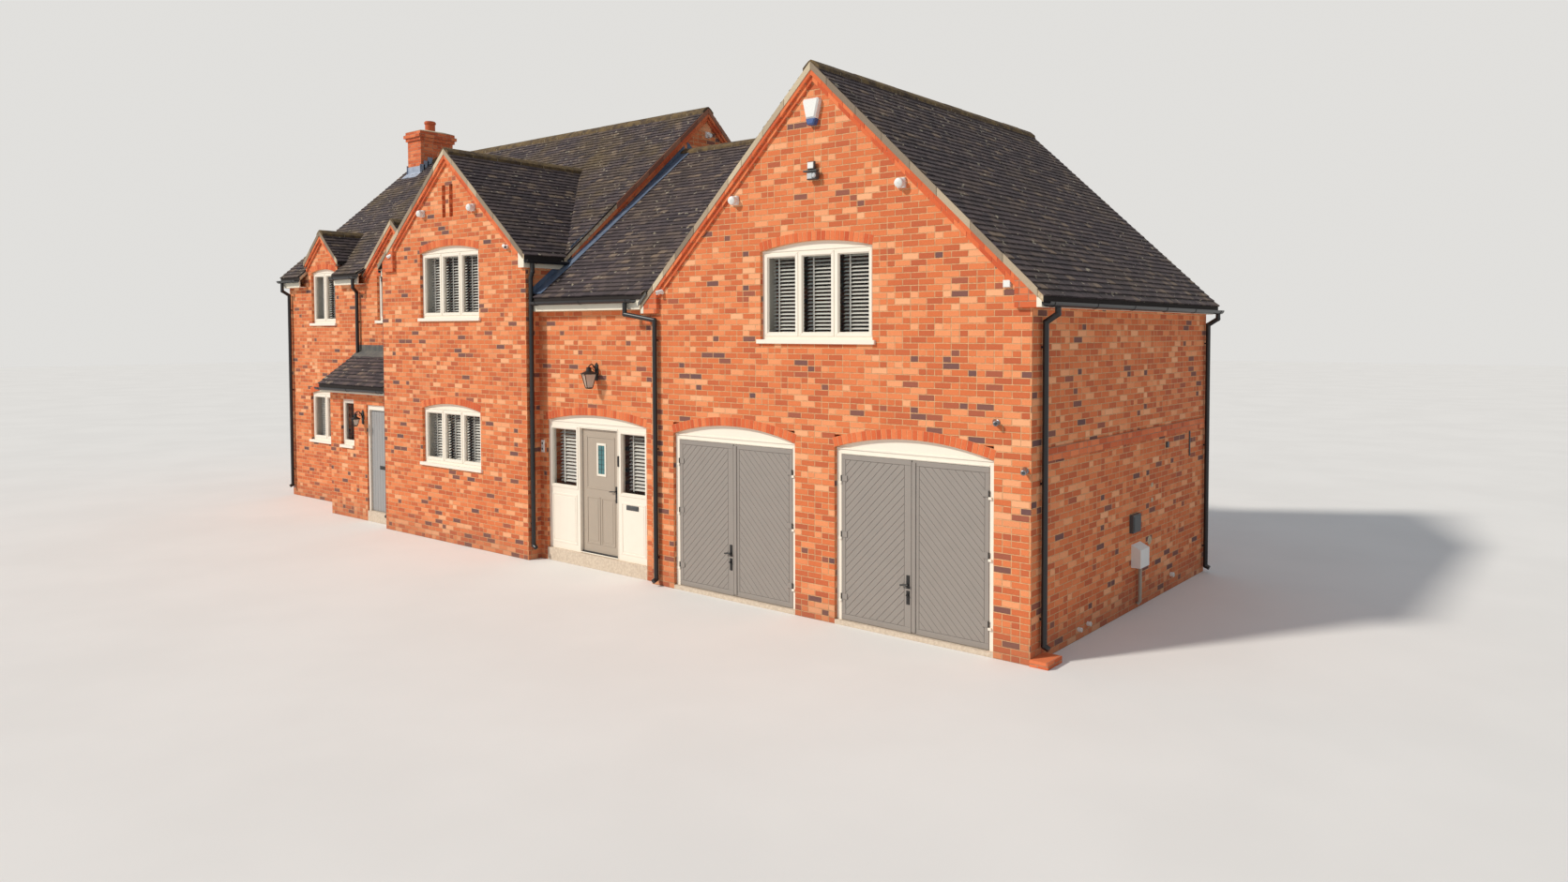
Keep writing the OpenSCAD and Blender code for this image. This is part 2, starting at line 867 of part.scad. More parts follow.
module bay_corbels() {
    intersection() {
        rake_courses(bay_front, -1, bay_mid, cross_apex, cross_slope, cross_w / 2);
        block(bay_left + bay_kneeler_far, bay_right - bay_box_w, -BIG, BIG, -BIG, BIG);
    }
    intersection() {
        block(bay_left + bay_kneeler_near, bay_left + bay_kneeler_far, bay_front - corbel_d, bay_front,
              bay_soffit + course, BIG);
        under_bay(under_tiles);
    }
}

module gable_corbels() {
    color("#b5502f") placed() {
        garage_corbels();
        bay_corbels();
        rake_courses(main_front, -1, gablet_1_x, gablet_1_apex, gablet_slope, gablet_1_half - verge_out);
        rake_courses(main_front, -1, gablet_2_x, gablet_2_apex, gablet_slope, gablet_2_half - verge_out);
        turned(house_left)
            rake_courses(0, -1, main_ridge_y, main_apex, main_slope, main_d / 2);
        difference() {
            turned(bay_right)
                rake_courses(0, 1, main_ridge_y, main_apex, main_slope, main_d / 2);
            under_link(-1);
        }
    }
}

near_pipe_y = 220;
far_pipe_y = garage_d - 60;
pipe_off = pipe_r + 20;

module string_course() {
    color("#b5502f") placed()
        block(0, string_out, near_pipe_y + pipe_off, far_pipe_y - pipe_off, string_z, string_z + 2 * course);
}

kerb_out = 20;
kerb_l = 340;

module corner_kerb() {
    color("#b5502f") placed()
        block(0, brick_l, -kerb_out, kerb_l - kerb_out, 0, course);
}

chimney_x = house_left + chimney_in;

// A block of chimney brickwork about the middle of the stack, standing out by some steps
module chimney_band(steps, z0, z1) {
    half_w = chimney_w / 2 + steps * cap_step;
    half_d = chimney_d / 2 + steps * cap_step;
    block(chimney_x - half_w, chimney_x + half_w, main_ridge_y - half_d, main_ridge_y + half_d, z0, z1);
}

module chimney_stack() {
    color("#c06a48") placed()
        difference() {
            union() {
                chimney_band(0, main_apex - chimney_d, chimney_top);
                chimney_band(1, chimney_top - 3 * course, chimney_top - 2 * course);
                chimney_band(2, chimney_top - 2 * course, chimney_top - course);
                chimney_band(1, chimney_top - course, chimney_top);
            }
            under_main(-bed);
        }
}

pot_lip = 18;
pot_lip_h = 40;
pot_floor = 40;

module chimney_pot() {
    color("#c8663a") placed()
        translate([chimney_x, main_ridge_y, chimney_top])
            difference() {
                union() {
                    cylinder(r = pot_r, h = pot_h, $fn = ROUND_FN);
                    translate([0, 0, pot_h - 1.5 * pot_lip_h])
                        cylinder(r = pot_r + pot_lip, h = pot_lip_h, $fn = ROUND_FN);
                }
                translate([0, 0, pot_floor])
                    cylinder(r = pot_r - pot_t, h = pot_h, $fn = ROUND_FN);
            }
}

module garage_roof() {
    run = garage_w / 2 + eaves_out;
    color("#4a403c") placed()
        difference() {
            along_y(-verge_out, garage_d + verge_out)
                two_slopes(garage_mid, garage_apex, garage_slope, run, run);
            intersection() {
                under_link();
                block(-2 * BIG, link_end + mouth, link_front, BIG, -BIG, BIG);
            }
        }
}

bay_pipe_clear = pipe_off + pipe_r + 12;
link_end = garage_mid - ridge_w - mouth;
ridge_clear = 200;

module link_roof() {
    color("#4a403c") placed()
        difference() {
            along_x(bay_right, link_end)
                two_slopes(link_ridge_y, link_apex, link_slope,
                           link_ridge_y - link_front + eaves_out, link_rear - link_ridge_y + eaves_out);
            under_garage(-bed);
            block(garage_x - kneeler_out, BIG, -BIG, -1, -BIG, BIG);
            block(-2 * BIG, bay_right + bay_pipe_clear, -BIG, link_front - fascia_x, -BIG, BIG);
        }
}

module main_roof() {
    color("#4a403c") placed()
        difference() {
            along_x(house_left - verge_out, bay_right + verge_out)
                two_slopes(main_ridge_y, main_apex, main_slope,
                           main_d / 2 + eaves_out, main_d / 2 + eaves_out);
            intersection() {
                under_bay(tile_t);
                block(bay_left, bay_right + verge_out + 1, -BIG, main_ridge_y - ridge_clear, -BIG, BIG);
            }
            intersection() {
                under_gablet(gablet_1_x, gablet_1_apex, gablet_1_half, tile_t);
                block(gablet_1_x - gablet_1_half + verge_out, gablet_1_x + gablet_1_half - verge_out,
                      -BIG, main_ridge_y - ridge_clear, -BIG, BIG);
            }
            intersection() {
                under_gablet(gablet_2_x, gablet_2_apex, gablet_2_half, tile_t);
                block(gablet_2_x - gablet_2_half + verge_out, bay_left + 1,
                      -BIG, main_ridge_y - ridge_clear, -BIG, BIG);
            }
        }
}

module bay_roof() {
    color("#4a403c") placed()
        difference() {
            along_y(bay_front - verge_out, main_ridge_y)
                two_slopes(bay_mid, cross_apex, cross_slope,
                           cross_w / 2 + bay_eaves_out, cross_w / 2 + bay_eaves_out);
            under_main(-bed);
        }
}

module gablet_roofs() {
    color("#4a403c") placed() {
        difference() {
            along_y(main_front - verge_out, main_ridge_y)
                two_slopes(gablet_1_x, gablet_1_apex, gablet_slope, gablet_1_half, gablet_1_half);
            under_main(-bed);
        }
        difference() {
            along_y(main_front - verge_out, main_ridge_y)
                two_slopes(gablet_2_x, gablet_2_apex, gablet_slope, gablet_2_half, gablet_2_half);
            under_main(-bed);
            under_bay(-bed);
        }
    }
}

module porch_roof() {
    y0 = porch_front - eaves_out;
    color("#4a403c") placed()
        difference() {
            along_x(porch_left - porch_verge, bay_left)
                polygon([
                    [main_front, porch_top], [y0, porch_top - porch_slope * (main_front - y0)],
                    [y0, porch_top - porch_slope * (main_front - y0) - tile_t],
                    [main_front, porch_top - tile_t]]);
            block(bay_left - bay_pipe_clear, bay_left + 1, -BIG, bay_pipe_y + bay_pipe_clear - pipe_off, -BIG, BIG);
        }
}

// The chevron of a ridge tile, resting on both slopes
module ridge_outline(c, apex, slope) {
    foot = apex + bed - slope * ridge_w;
    polygon([
        [c, apex + ridge_t * 2], [c + ridge_w, foot + ridge_t], [c + ridge_w, foot], [c, apex + bed],
        [c - ridge_w, foot], [c - ridge_w, foot + ridge_t]]);
}

module ridge_tiles() {
    color("#6b5a48") placed() {
        along_y(-verge_out, garage_d + verge_out)
            ridge_outline(garage_mid, garage_apex, garage_slope);
        difference() {
            along_x(bay_right, link_end)
                ridge_outline(link_ridge_y, link_apex, link_slope);
            under_garage(-bed);
        }
        along_x(chimney_x + chimney_w / 2 + mouth, bay_right + verge_out)
            ridge_outline(main_ridge_y, main_apex, main_slope);
        along_x(house_left - verge_out, chimney_x - chimney_w / 2 - mouth)
            ridge_outline(main_ridge_y, main_apex, main_slope);
        difference() {
            along_y(bay_front - verge_out, main_ridge_y)
                ridge_outline(bay_mid, cross_apex, cross_slope);
            under_main(-bed);
        }
        difference() {
            along_y(main_front - verge_out, main_ridge_y)
                ridge_outline(gablet_1_x, gablet_1_apex, gablet_slope);
            under_main(-bed);
        }
        difference() {
            along_y(main_front - verge_out, main_ridge_y)
                ridge_outline(gablet_2_x, gablet_2_apex, gablet_slope);
            under_main(-bed);
        }
    }
}

soffit_t = 15;

// A fascia and soffit: wall at c, outward side, soffit height, roof top over the wall, slope
module eaves_box(c, side, z0, wall_top, slope, out) {
    top_out = wall_top - under_tiles - slope * (out + fascia_t);
    top_in = wall_top - under_tiles - slope * out;
    polygon([
        [c, z0], [c + side * (out + fascia_t), z0], [c + side * (out + fascia_t), top_out],
        [c + side * out, top_in], [c + side * out, z0 + soffit_t], [c, z0 + soffit_t]]);
}

// The closed end of an eaves box, carried past the gable
module box_end(c, side, z0, wall_top, slope, near, far) {
    polygon([
        [c + side * near, z0], [c + side * far, z0],
        [c + side * far, wall_top - under_tiles - slope * far],
        [c + side * near, wall_top - under_tiles - slope * near]]);
}

end_out = verge_out - 2;

module garage_fascias() {
    along_y(0, garage_d)
        eaves_box(0, 1, garage_soffit, garage_wall_top, garage_slope, fascia_x);
    for (y = [-end_out, garage_d])
        along_y(y, y + end_out)
            box_end(0, 1, garage_soffit, garage_wall_top, garage_slope, kneeler_out, gutter_x);
    along_y(-end_out, 0)
        box_end(garage_x, -1, garage_soffit, garage_wall_top, garage_slope, kneeler_out, gutter_x);
}

module link_fascias() {
    along_x(bay_right, garage_x - eaves_out - mouth)
        eaves_box(link_front, -1, link_soffit, link_wall_top, link_slope, fascia_x);
    difference() {
        along_x(bay_right, garage_mid)
            eaves_box(link_rear, 1, link_rear_soffit, link_rear_top, link_slope, fascia_x);
        under_garage(-bed);
    }
}

bay_side_end = main_front - eaves_out - side_gap;

module bay_fascias() {
    difference() {
        along_y(bay_front, main_front)
            eaves_box(bay_right, 1, bay_soffit, cross_wall_top, cross_slope, bay_fascia_x);
        under_link(-bed);
    }
    along_y(bay_front - end_out, bay_front)
        box_end(bay_right, 1, bay_soffit, cross_wall_top, cross_slope, -bay_box_w, bay_gutter_x);
    along_y(bay_front, bay_side_end)
        eaves_box(bay_left, -1, bay_soffit, cross_wall_top, cross_slope, bay_fascia_x);
}

gablet_gap = 10;
gablet_1_left = gablet_1_x - gablet_1_half - gablet_gap;
gablet_1_right = gablet_1_x + gablet_1_half + gablet_gap;
gablet_2_left = gablet_2_x - gablet_2_half - gablet_gap;

module fascias() {
    color("#efe8d6") placed() {
        garage_fascias();
        link_fascias();
        bay_fascias();
        for (run = [[house_left - end_out, gablet_1_left], [gablet_1_right, gablet_2_left]])
            along_x(run[0], run[1])
                eaves_box(main_front, -1, main_soffit, main_wall_top, main_slope, fascia_x);
        along_x(house_left - end_out, bay_right + end_out)
            eaves_box(main_rear, 1, main_soffit, main_wall_top, main_slope, fascia_x);
        along_x(porch_left - porch_verge, bay_left - bay_pipe_clear)
            eaves_box(porch_front, -1, porch_soffit, porch_wall_top, porch_slope, fascia_x);
    }
}

gutter_t = 4;
gutter_drop = 10;

// A half-round gutter hung with its back against c and its rim at z
module gutter(c, side, z) {
    translate([c + side * gutter_r, z])
        difference() {
            circle(r = gutter_r, $fn = ROUND_FN);
            circle(r = gutter_r - gutter_t, $fn = ROUND_FN);
            translate([-gutter_r - 1, 0])
                square([2 * gutter_r + 2, gutter_r + 1]);
        }
}

// The rim height of a gutter under the tiles of an eaves
function rim(wall_top, slope, out) = wall_top - tile_t - slope * out - gutter_drop;

garage_rim = rim(garage_wall_top, garage_slope, gutter_x);
link_rim = rim(link_wall_top, link_slope, gutter_x);
link_rear_rim = rim(link_rear_top, link_slope, gutter_x);
bay_rim = rim(cross_wall_top, cross_slope, bay_gutter_x);
main_rim = rim(main_wall_top, main_slope, gutter_x);
porch_rim = rim(porch_wall_top, porch_slope, gutter_x);
link_gutter_end = garage_x - 250;

module gutters() {
    along_y(-verge_out, garage_d + verge_out)
        gutter(gutter_x, 1, garage_rim);
    along_x(bay_right + bay_pipe_clear, link_gutter_end)
        gutter(link_front - gutter_x, -1, link_rim);
    difference() {
        along_x(bay_right + gutter_r, garage_mid)
            gutter(link_rear + gutter_x, 1, link_rear_rim);
        under_garage(-bed);
    }
    difference() {
        along_y(bay_front - verge_out, main_front)
            gutter(bay_right + bay_gutter_x, 1, bay_rim);
        under_link(-bed);
    }
    along_y(bay_front, bay_side_end)
        gutter(bay_left - bay_gutter_x, -1, bay_rim);
    for (run = [[house_left - verge_out, gablet_1_left], [gablet_1_right, gablet_2_left]])
        along_x(run[0], run[1])
            gutter(main_front - gutter_x, -1, main_rim);
    along_x(house_left - verge_out, bay_right + verge_out)
        gutter(main_rear + gutter_x, 1, main_rim);
    along_x(porch_left - porch_verge, bay_left - bay_pipe_clear)
        gutter(porch_front - gutter_x, -1, porch_rim);
}

// A round bar between two points
module bar(a, b, r) {
    d = b - a;
    l = norm(d);
    translate(a)
        rotate([0, acos(d[2] / l), atan2(d[1], d[0])])
            cylinder(r = r, h = l, $fn = ROUND_FN);
}

elbow_r = pipe_r + 3;

// A downpipe through a list of points, with round elbows
module pipe(points) {
    for (i = [0 : len(points) - 2])
        bar(points[i], points[i + 1], pipe_r);
    for (i = [1 : len(points) - 2])
        translate(points[i])
            sphere(r = elbow_r, $fn = ROUND_FN);
}

shoe_h = 60;
shoe_out = 60;
neck_drop = 70;
neck_h = 90;
clip_half = 12;

// A clip that holds a downpipe at w, with the wall in the direction back
module clip(w, back, z) {
    translate([w[0], w[1], z])
        rotate([0, 0, back])
            translate([0, -clip_half, 0])
                cube([pipe_off, 2 * clip_half, 2 * clip_half]);
}

// A downpipe from a gutter at g, over a swan neck to the wall line w, with its wall towards back
module downpipe(g, w, back, soffit, foot) {
    top = soffit - neck_drop;
    knee = foot + shoe_h;
    pipe([
        [g[0], g[1], g[2] - gutter_r + gutter_t / 2], [g[0], g[1], top],
        [w[0], w[1], top - neck_h], [w[0], w[1], knee],
        [w[0] - shoe_out * cos(back), w[1] - shoe_out * sin(back), foot + pipe_r]]);
    for (t = [0.08, 0.5, 0.92])
        clip(w, back, knee + t * (top - neck_h - knee));
}

// A straight downpipe that ends on a roof, with its wall towards back
module short_pipe(g, w, back, soffit, foot) {
    top = soffit - neck_drop;
    pipe([
        [g[0], g[1], g[2] - gutter_r + gutter_t / 2], [g[0], g[1], top],
        [w[0], w[1], top - neck_h], [w[0], w[1], foot]]);
    clip(w, back, (foot + top - neck_h) / 2);
}

patio_foot = 170;
ground_foot = 40;
bay_pipe_y = bay_front + 60;
link_outlet_x = garage_x - 430;
link_pipe_x = garage_x + 150;
end_pipe_in = 90;
porch_pipe_x = porch_left - 60;

module downpipes() {
    mid = gutter_x + gutter_r;
    bay_mid_out = bay_gutter_x + gutter_r;
    downpipe([mid, near_pipe_y, garage_rim], [pipe_off, near_pipe_y], 180,
             garage_soffit, course + ground_foot);
    downpipe([mid, far_pipe_y, garage_rim], [pipe_off, far_pipe_y], 180, garage_soffit, ground_foot);
    downpipe([link_outlet_x, link_front - mid, link_rim], [link_pipe_x, -pipe_off], 90,
             link_soffit, ground_foot);
    downpipe([bay_right + bay_mid_out, bay_pipe_y, bay_rim], [bay_right + pipe_off, bay_pipe_y], 180,
             bay_soffit, patio_foot);
    downpipe([bay_left - bay_mid_out, bay_pipe_y, bay_rim], [bay_left - pipe_off, bay_pipe_y], 0,
             bay_soffit, patio_foot);
    downpipe([house_left + end_pipe_in, main_front - mid, main_rim],
             [house_left + end_pipe_in, main_front - pipe_off], 90, main_soffit, patio_foot);
    short_pipe([gablet_2_left - end_pipe_in, main_front - mid, main_rim],
               [porch_pipe_x, main_front - pipe_off], 90, main_soffit,
               porch_top - porch_slope * pipe_off + pipe_r);
    for (x = [house_left + end_pipe_in, bay_right - end_pipe_in])
        downpipe([x, main_rear + mid, main_rim], [x, main_rear + pipe_off], 270, main_soffit, ground_foot);
    downpipe([bay_right + 2 * end_pipe_in, link_rear + mid, link_rear_rim],
             [bay_right + 2 * end_pipe_in, link_rear + pipe_off], 270, link_rear_soffit, ground_foot);
}

module rainwater_goods() {
    color("#1d1d1f") placed() {
        gutters();
        downpipes();
    }
}

// An outline carried back from y by a depth
module frame_plate(y, out, d) {
    along_y(min(y, y - out * d), max(y, y - out * d))
        children();
}

// The ledge on a frame that carries a hinge: foot, arm and pin, with its top at z
module pintle(x, y, hand, to_frame, z) {
    arm = 35;
    foot_end = 12;
    face = side_gap + knuckle_r;
    translate([x, y, z - pintle_h]) {
        cylinder(r = knuckle_r, h = pintle_h, $fn = ROUND_FN);
        block(min(0, -hand * arm), max(0, -hand * arm), -knuckle_r, knuckle_r, 0, pintle_h);
        block(min(-hand * foot_end, -hand * arm), max(-hand * foot_end, -hand * arm),
              min(0, to_frame * face), max(0, to_frame * face), 0, pintle_h);
    }
}

// The knuckle and plate of a leaf that turns on such a pin
module knuckle(x, y, hand, to_leaf, z) {
    face = side_gap + knuckle_r + face_gap;
    translate([x, y, z + seat_gap]) {
        cylinder(r = knuckle_r, h = knuckle_h, $fn = ROUND_FN);
        block(min(0, hand * plate_w), max(0, hand * plate_w),
              min(0, to_leaf * face), max(0, to_leaf * face), 0, knuckle_h);
    }
}

leaf_w = (garage_door_w - 2 * garage_jamb - 2 * side_gap - swing_gap) / 2;
garage_pin_y = reveal - side_gap - knuckle_r;
garage_hinge_z = [320, 1100, 1800];
house_hinge_z = [420, 1180, 1940];

// The hinge line of each garage leaf and the side that its leaf lies on
garage_hinges = [for (x = garage_door_x, s = [-1, 1])
    [x + s * (garage_door_w / 2 - garage_jamb - side_gap), -s]];

module garage_door_frames() {
    color("#efe8d6") placed() {
        for (x = garage_door_x)
            along_y(reveal, reveal + garage_frame_d)
                difference() {
                    arched(x, garage_door_w, garage_floor, garage_spring, garage_rise);
                    translate([x - garage_door_w / 2 + garage_jamb, garage_floor - 1])
                        square([garage_door_w - 2 * garage_jamb, leaf_top + side_gap - garage_floor + 1]);
                }
        for (h = garage_hinges, z = garage_hinge_z)
            pintle(h[0], garage_pin_y, h[1], 1, z);
    }
}

// One garage leaf with the knuckles of its hinges
module garage_leaf(i) {
    h = garage_hinges[i];
    y0 = reveal + face_gap;
    color("#8b8d90") placed() {
        block(min(h[0], h[0] + h[1] * leaf_w), max(h[0], h[0] + h[1] * leaf_w),
              y0, y0 + leaf_t, garage_floor + side_gap, leaf_top);
        for (z = garage_hinge_z)
            knuckle(h[0], garage_pin_y, h[1], 1, z);
    }
}

front_leaf_left = entrance_left + front_leaf_in;
front_leaf_right = front_leaf_left + front_leaf_w;
screen_y = link_front + reveal;
screen_back = screen_y + screen_d;
front_pin_y = screen_back + side_gap + knuckle_r;
leaf_head = house_floor + house_leaf_h + side_gap;
pane_bottom = house_floor + sill_panel;
pane_top = house_floor + house_leaf_h - side_gap;
entrance_panes = [
    [entrance_left + screen_rail, front_leaf_left - side_gap - door_post, pane_bottom, pane_top],
    [front_leaf_right + free_gap + door_post, entrance_left + entrance_w - screen_rail,
     pane_bottom, pane_top]];

module entrance_screen() {
    color("#efe8d6") placed() {
        difference() {
            along_y(screen_y, screen_back)
                difference() {
                    arched(entrance_x, entrance_w, house_floor, entrance_spring, entrance_rise);
                    translate([front_leaf_left - side_gap, house_floor - 1])
                        square([front_leaf_w + side_gap + free_gap, leaf_head - house_floor + 1]);
                }
            for (p = entrance_panes)
                block(p[0], p[1], screen_y - 1, screen_back + 1, p[2], p[3]);
        }
        for (z = house_hinge_z)
            pintle(front_leaf_left, front_pin_y, 1, -1, z);
    }
}

// A house door leaf that opens inwards, hinged at x, behind a frame that ends at y
module house_leaf(x, w, y) {
    y1 = y - face_gap;
    block(x, x + w, y1 - house_leaf_t, y1, house_floor + side_gap, house_floor + house_leaf_h);
    for (z = house_hinge_z)
        knuckle(x, y + side_gap + knuckle_r, 1, -1, z);
}

porch_frame_y = porch_front + 30;
porch_frame_back = porch_frame_y + screen_d;
porch_leaf_left = porch_door_left + screen_rail + side_gap;
porch_leaf_w = porch_door_w - 2 * screen_rail - side_gap - free_gap;

module porch_door_frame() {
    color("#efe8d6") placed() {
        along_y(porch_frame_y, porch_frame_back)
            difference() {
                translate([porch_door_left, house_floor])
                    square([porch_door_w, porch_door_top - house_floor]);
                translate([porch_door_left + screen_rail, house_floor - 1])
                    square([porch_door_w - 2 * screen_rail, house_leaf_h + side_gap + 1]);
            }
        for (z = house_hinge_z)
            pintle(porch_leaf_left, porch_frame_back + side_gap + knuckle_r, 1, -1, z);
    }
}

// The clear width of one light of a window
function light_w(w) = (w[1] - frame_w * (w[5] + 1)) / w[5];

head_board = 50;

module lights(w) {
    for (i = [0 : w[5] - 1])
        translate([w[0] - w[1] / 2 + frame_w + i * (light_w(w) + frame_w), w[2] + sill_h + frame_w])
            square([light_w(w), w[3] - w[2] - sill_h - frame_w - head_board]);
}

module framed_windows(list, y, out) {
    for (w = list) {
        frame_plate(y - out * reveal, out, frame_d)
            difference() {
                arched(w[0], w[1], w[2], w[3], w[4]);
                lights(w);
            }
        frame_plate(y + out * sill_nose, out, sill_nose + reveal)
            translate([w[0] - w[1] / 2, w[2]])
                square([w[1], sill_h]);
        frame_plate(y + out * sill_nose, out, sill_nose)
            translate([w[0] - w[1] / 2 - sill_horn, w[2]])
                square([w[1] + 2 * sill_horn, sill_h]);
    }
}

glass_t = 20;

module glazed_windows(list, y, out) {
    for (w = list)
        frame_plate(y - out * (reveal + (frame_d - glass_t) / 2), out, glass_t)
            lights(w);
}

module porch_window_frame() {
    w = porch_windows[0];
    frame_plate(porch_front + reveal, -1, frame_d)
        difference() {
            translate([w[0] - w[1] / 2, w[2]])
                square([w[1], w[3] - w[2]]);
            lights(w);
        }
    frame_plate(porch_front - sill_nose, -1, sill_nose + reveal)
        translate([w[0] - w[1] / 2, w[2]])
            square([w[1], sill_h]);
}

module window_frames() {
    color("#efe8d6") placed() {
        framed_windows(garage_windows, 0, -1);
        framed_windows(garage_windows, garage_d, 1);
        framed_windows(link_rear_windows, link_rear, 1);
        framed_windows(bay_windows, bay_front, -1);
        framed_windows(main_front_windows, main_front, -1);
        framed_windows(house_rear_windows, main_rear, 1);
        turned(house_left)
            framed_windows(left_windows, 0, -1);
        porch_window_frame();
    }
}

module window_glass() {
    screen_glass_y = screen_y + (screen_d - glass_t) / 2;
    color("#8fa3ad") placed() {
        glazed_windows(garage_windows, 0, -1);
        glazed_windows(garage_windows, garage_d, 1);
        glazed_windows(link_rear_windows, link_rear, 1);
        glazed_windows(bay_windows, bay_front, -1);
        glazed_windows(main_front_windows, main_front, -1);
        glazed_windows(house_rear_windows, main_rear, 1);
        turned(house_left)
            glazed_windows(left_windows, 0, -1);
        glazed_windows(porch_windows, porch_front, -1);
        for (p = entrance_panes)
            block(p[0], p[1], screen_glass_y, screen_glass_y + glass_t, p[2], p[3]);
    }
}

module garage_leaf_1() {
    garage_leaf(0);
}

module garage_leaf_2() {
    garage_leaf(1);
}

module garage_leaf_3() {
    garage_leaf(2);
}

module garage_leaf_4() {
    garage_leaf(3);
}

module front_door() {
    color("#a49c90") placed()
        house_leaf(front_leaf_left, front_leaf_w, screen_back);
}

module porch_door() {
    color("#a49c90") placed()
        house_leaf(porch_leaf_left, porch_leaf_w, porch_frame_back);
}

LANTERN_FN = 6;
cap_h = 110;
arm_half = 10;
rose_half = 35;

// A six-sided hanging lantern on a scrolled wall bracket, its wall face at y and its foot at z
module lantern(x, y, z, r, h) {
    top = z + h;
    translate([x, y - lantern_out, z]) {
        cylinder(r1 = 0.6 * r, r2 = r, h = h, $fn = LANTERN_FN);
        translate([0, 0, h])
            cylinder(r1 = 1.2 * r, r2 = 0.3 * r, h = cap_h, $fn = LANTERN_FN);
    }
    block(x - arm_half, x + arm_half, y - lantern_out - arm_half, y, top + cap_h - arm_half, top + cap_h + arm_half);
    block(x - rose_half, x + rose_half, y - arm_half, y, top + cap_h - 2 * rose_half, top + cap_h + 2 * rose_half);
}

lantern_x = entrance_x + 80;
lantern_rise = 425;
lantern_z = entrance_spring + entrance_rise + lantern_rise;
porch_lantern_x = porch_door_left - 120;
porch_lantern_z = house_leaf_h - 110;
porch_lantern_r = 0.7 * lantern_r;
porch_lantern_h = 0.6 * lantern_h;

module wall_lanterns() {
    color("#1d1d1f") placed() {
        lantern(lantern_x, link_front, lantern_z, lantern_r, lantern_h);
        lantern(porch_lantern_x, porch_front, porch_lantern_z, porch_lantern_r, porch_lantern_h);
    }
}

alarm_t = 80;
sensor_w = 140;
sensor_h = 130;
sensor_t = 120;
lamp_w = 220;
lamp_h = 240;
meter_t = 130;
meter_top = 60;
fuse_w = 260;
fuse_h = 240;
fuse_t = 65;
fuse_in = 70;
fuse_rise = 160;
fuse_z = meter_z + meter_h + fuse_rise;

// A box on a wall that faces the front, about x, from z up
module wall_box(x, y, z, w, h, t) {
    block(x - w / 2, x + w / 2, y - t, y, z, z + h);
}

module wall_boxes() {
    color("#e9e9e6") placed() {
        wall_box(garage_mid, 0, alarm_z, alarm_w, alarm_h, alarm_t);
        wall_box(garage_mid, 0, alarm_z - lamp_drop, lamp_w, lamp_h, sensor_t);
        for (x = [garage_mid - sensor_spread, garage_mid + sensor_spread])
            wall_box(x, 0, alarm_z - sensor_drop, sensor_w, sensor_h, sensor_t);
        for (x = [bay_mid - bay_sensor_spread, bay_mid + bay_sensor_spread])
            wall_box(x, bay_front, cross_apex - bay_sensor_drop, sensor_w, sensor_h, sensor_t);
        along_y(meter_y, meter_y + meter_w)
            polygon([
                [0, meter_z], [meter_t, meter_z], [meter_t, meter_z + meter_h - meter_top],
                [0, meter_z + meter_h]]);
        block(0, fuse_t, meter_y - fuse_in, meter_y - fuse_in + fuse_w, fuse_z, fuse_z + fuse_h);
    }
}

garage_piers();
garage_gable_wall();
garage_side_walls();
garage_rear_wall();
link_piers();
link_front_wall();
link_rear_wall();
bay_front_wall();
bay_left_wall();
house_right_wall();
main_front_wall();
house_left_wall();
house_rear_wall();
porch_piers();
porch_lintel();
ground_floors();
first_floors();
brick_arches();
gable_corbels();
string_course();
corner_kerb();
chimney_stack();
chimney_pot();
garage_roof();
link_roof();
main_roof();
bay_roof();
gablet_roofs();
porch_roof();
ridge_tiles();
fascias();
rainwater_goods();
garage_door_frames();
entrance_screen();
porch_door_frame();
window_frames();
window_glass();
garage_leaf_1();
garage_leaf_2();
garage_leaf_3();
garage_leaf_4();
front_door();
porch_door();
wall_lanterns();
wall_boxes();
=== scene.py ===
import math
import random
from collections import namedtuple

import bmesh
import bpy
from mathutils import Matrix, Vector


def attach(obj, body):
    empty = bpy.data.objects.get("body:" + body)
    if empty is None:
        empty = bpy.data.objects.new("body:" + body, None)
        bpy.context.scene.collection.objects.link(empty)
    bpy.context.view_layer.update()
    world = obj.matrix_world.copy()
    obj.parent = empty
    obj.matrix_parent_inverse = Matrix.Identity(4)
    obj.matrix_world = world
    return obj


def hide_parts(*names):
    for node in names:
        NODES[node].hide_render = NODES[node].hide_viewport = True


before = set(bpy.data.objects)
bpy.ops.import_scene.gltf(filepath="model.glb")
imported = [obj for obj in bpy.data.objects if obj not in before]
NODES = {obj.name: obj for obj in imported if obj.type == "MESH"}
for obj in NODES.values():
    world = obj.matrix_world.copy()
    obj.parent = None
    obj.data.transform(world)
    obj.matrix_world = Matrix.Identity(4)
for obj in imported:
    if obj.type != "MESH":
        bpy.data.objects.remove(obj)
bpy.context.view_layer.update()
HOUSE = "house"
OX, OY = 9.353, -3.5045
rng = random.Random(7)


# Small helpers: colours, materials, meshes. Lengths are in metres, measured from the
# near corner of the garage front, X to the right, Y to the back, and moved by OX, OY.
def rgb(code):
    """The linear colour of an sRGB code such as "d89664"."""
    parts = [int(code[i:i + 2], 16) for i in (0, 2, 4)]
    return tuple((c / 255 / 12.92) if c <= 10 else ((c / 255 + 0.055) / 1.055) ** 2.4 for c in parts) + (1.0,)


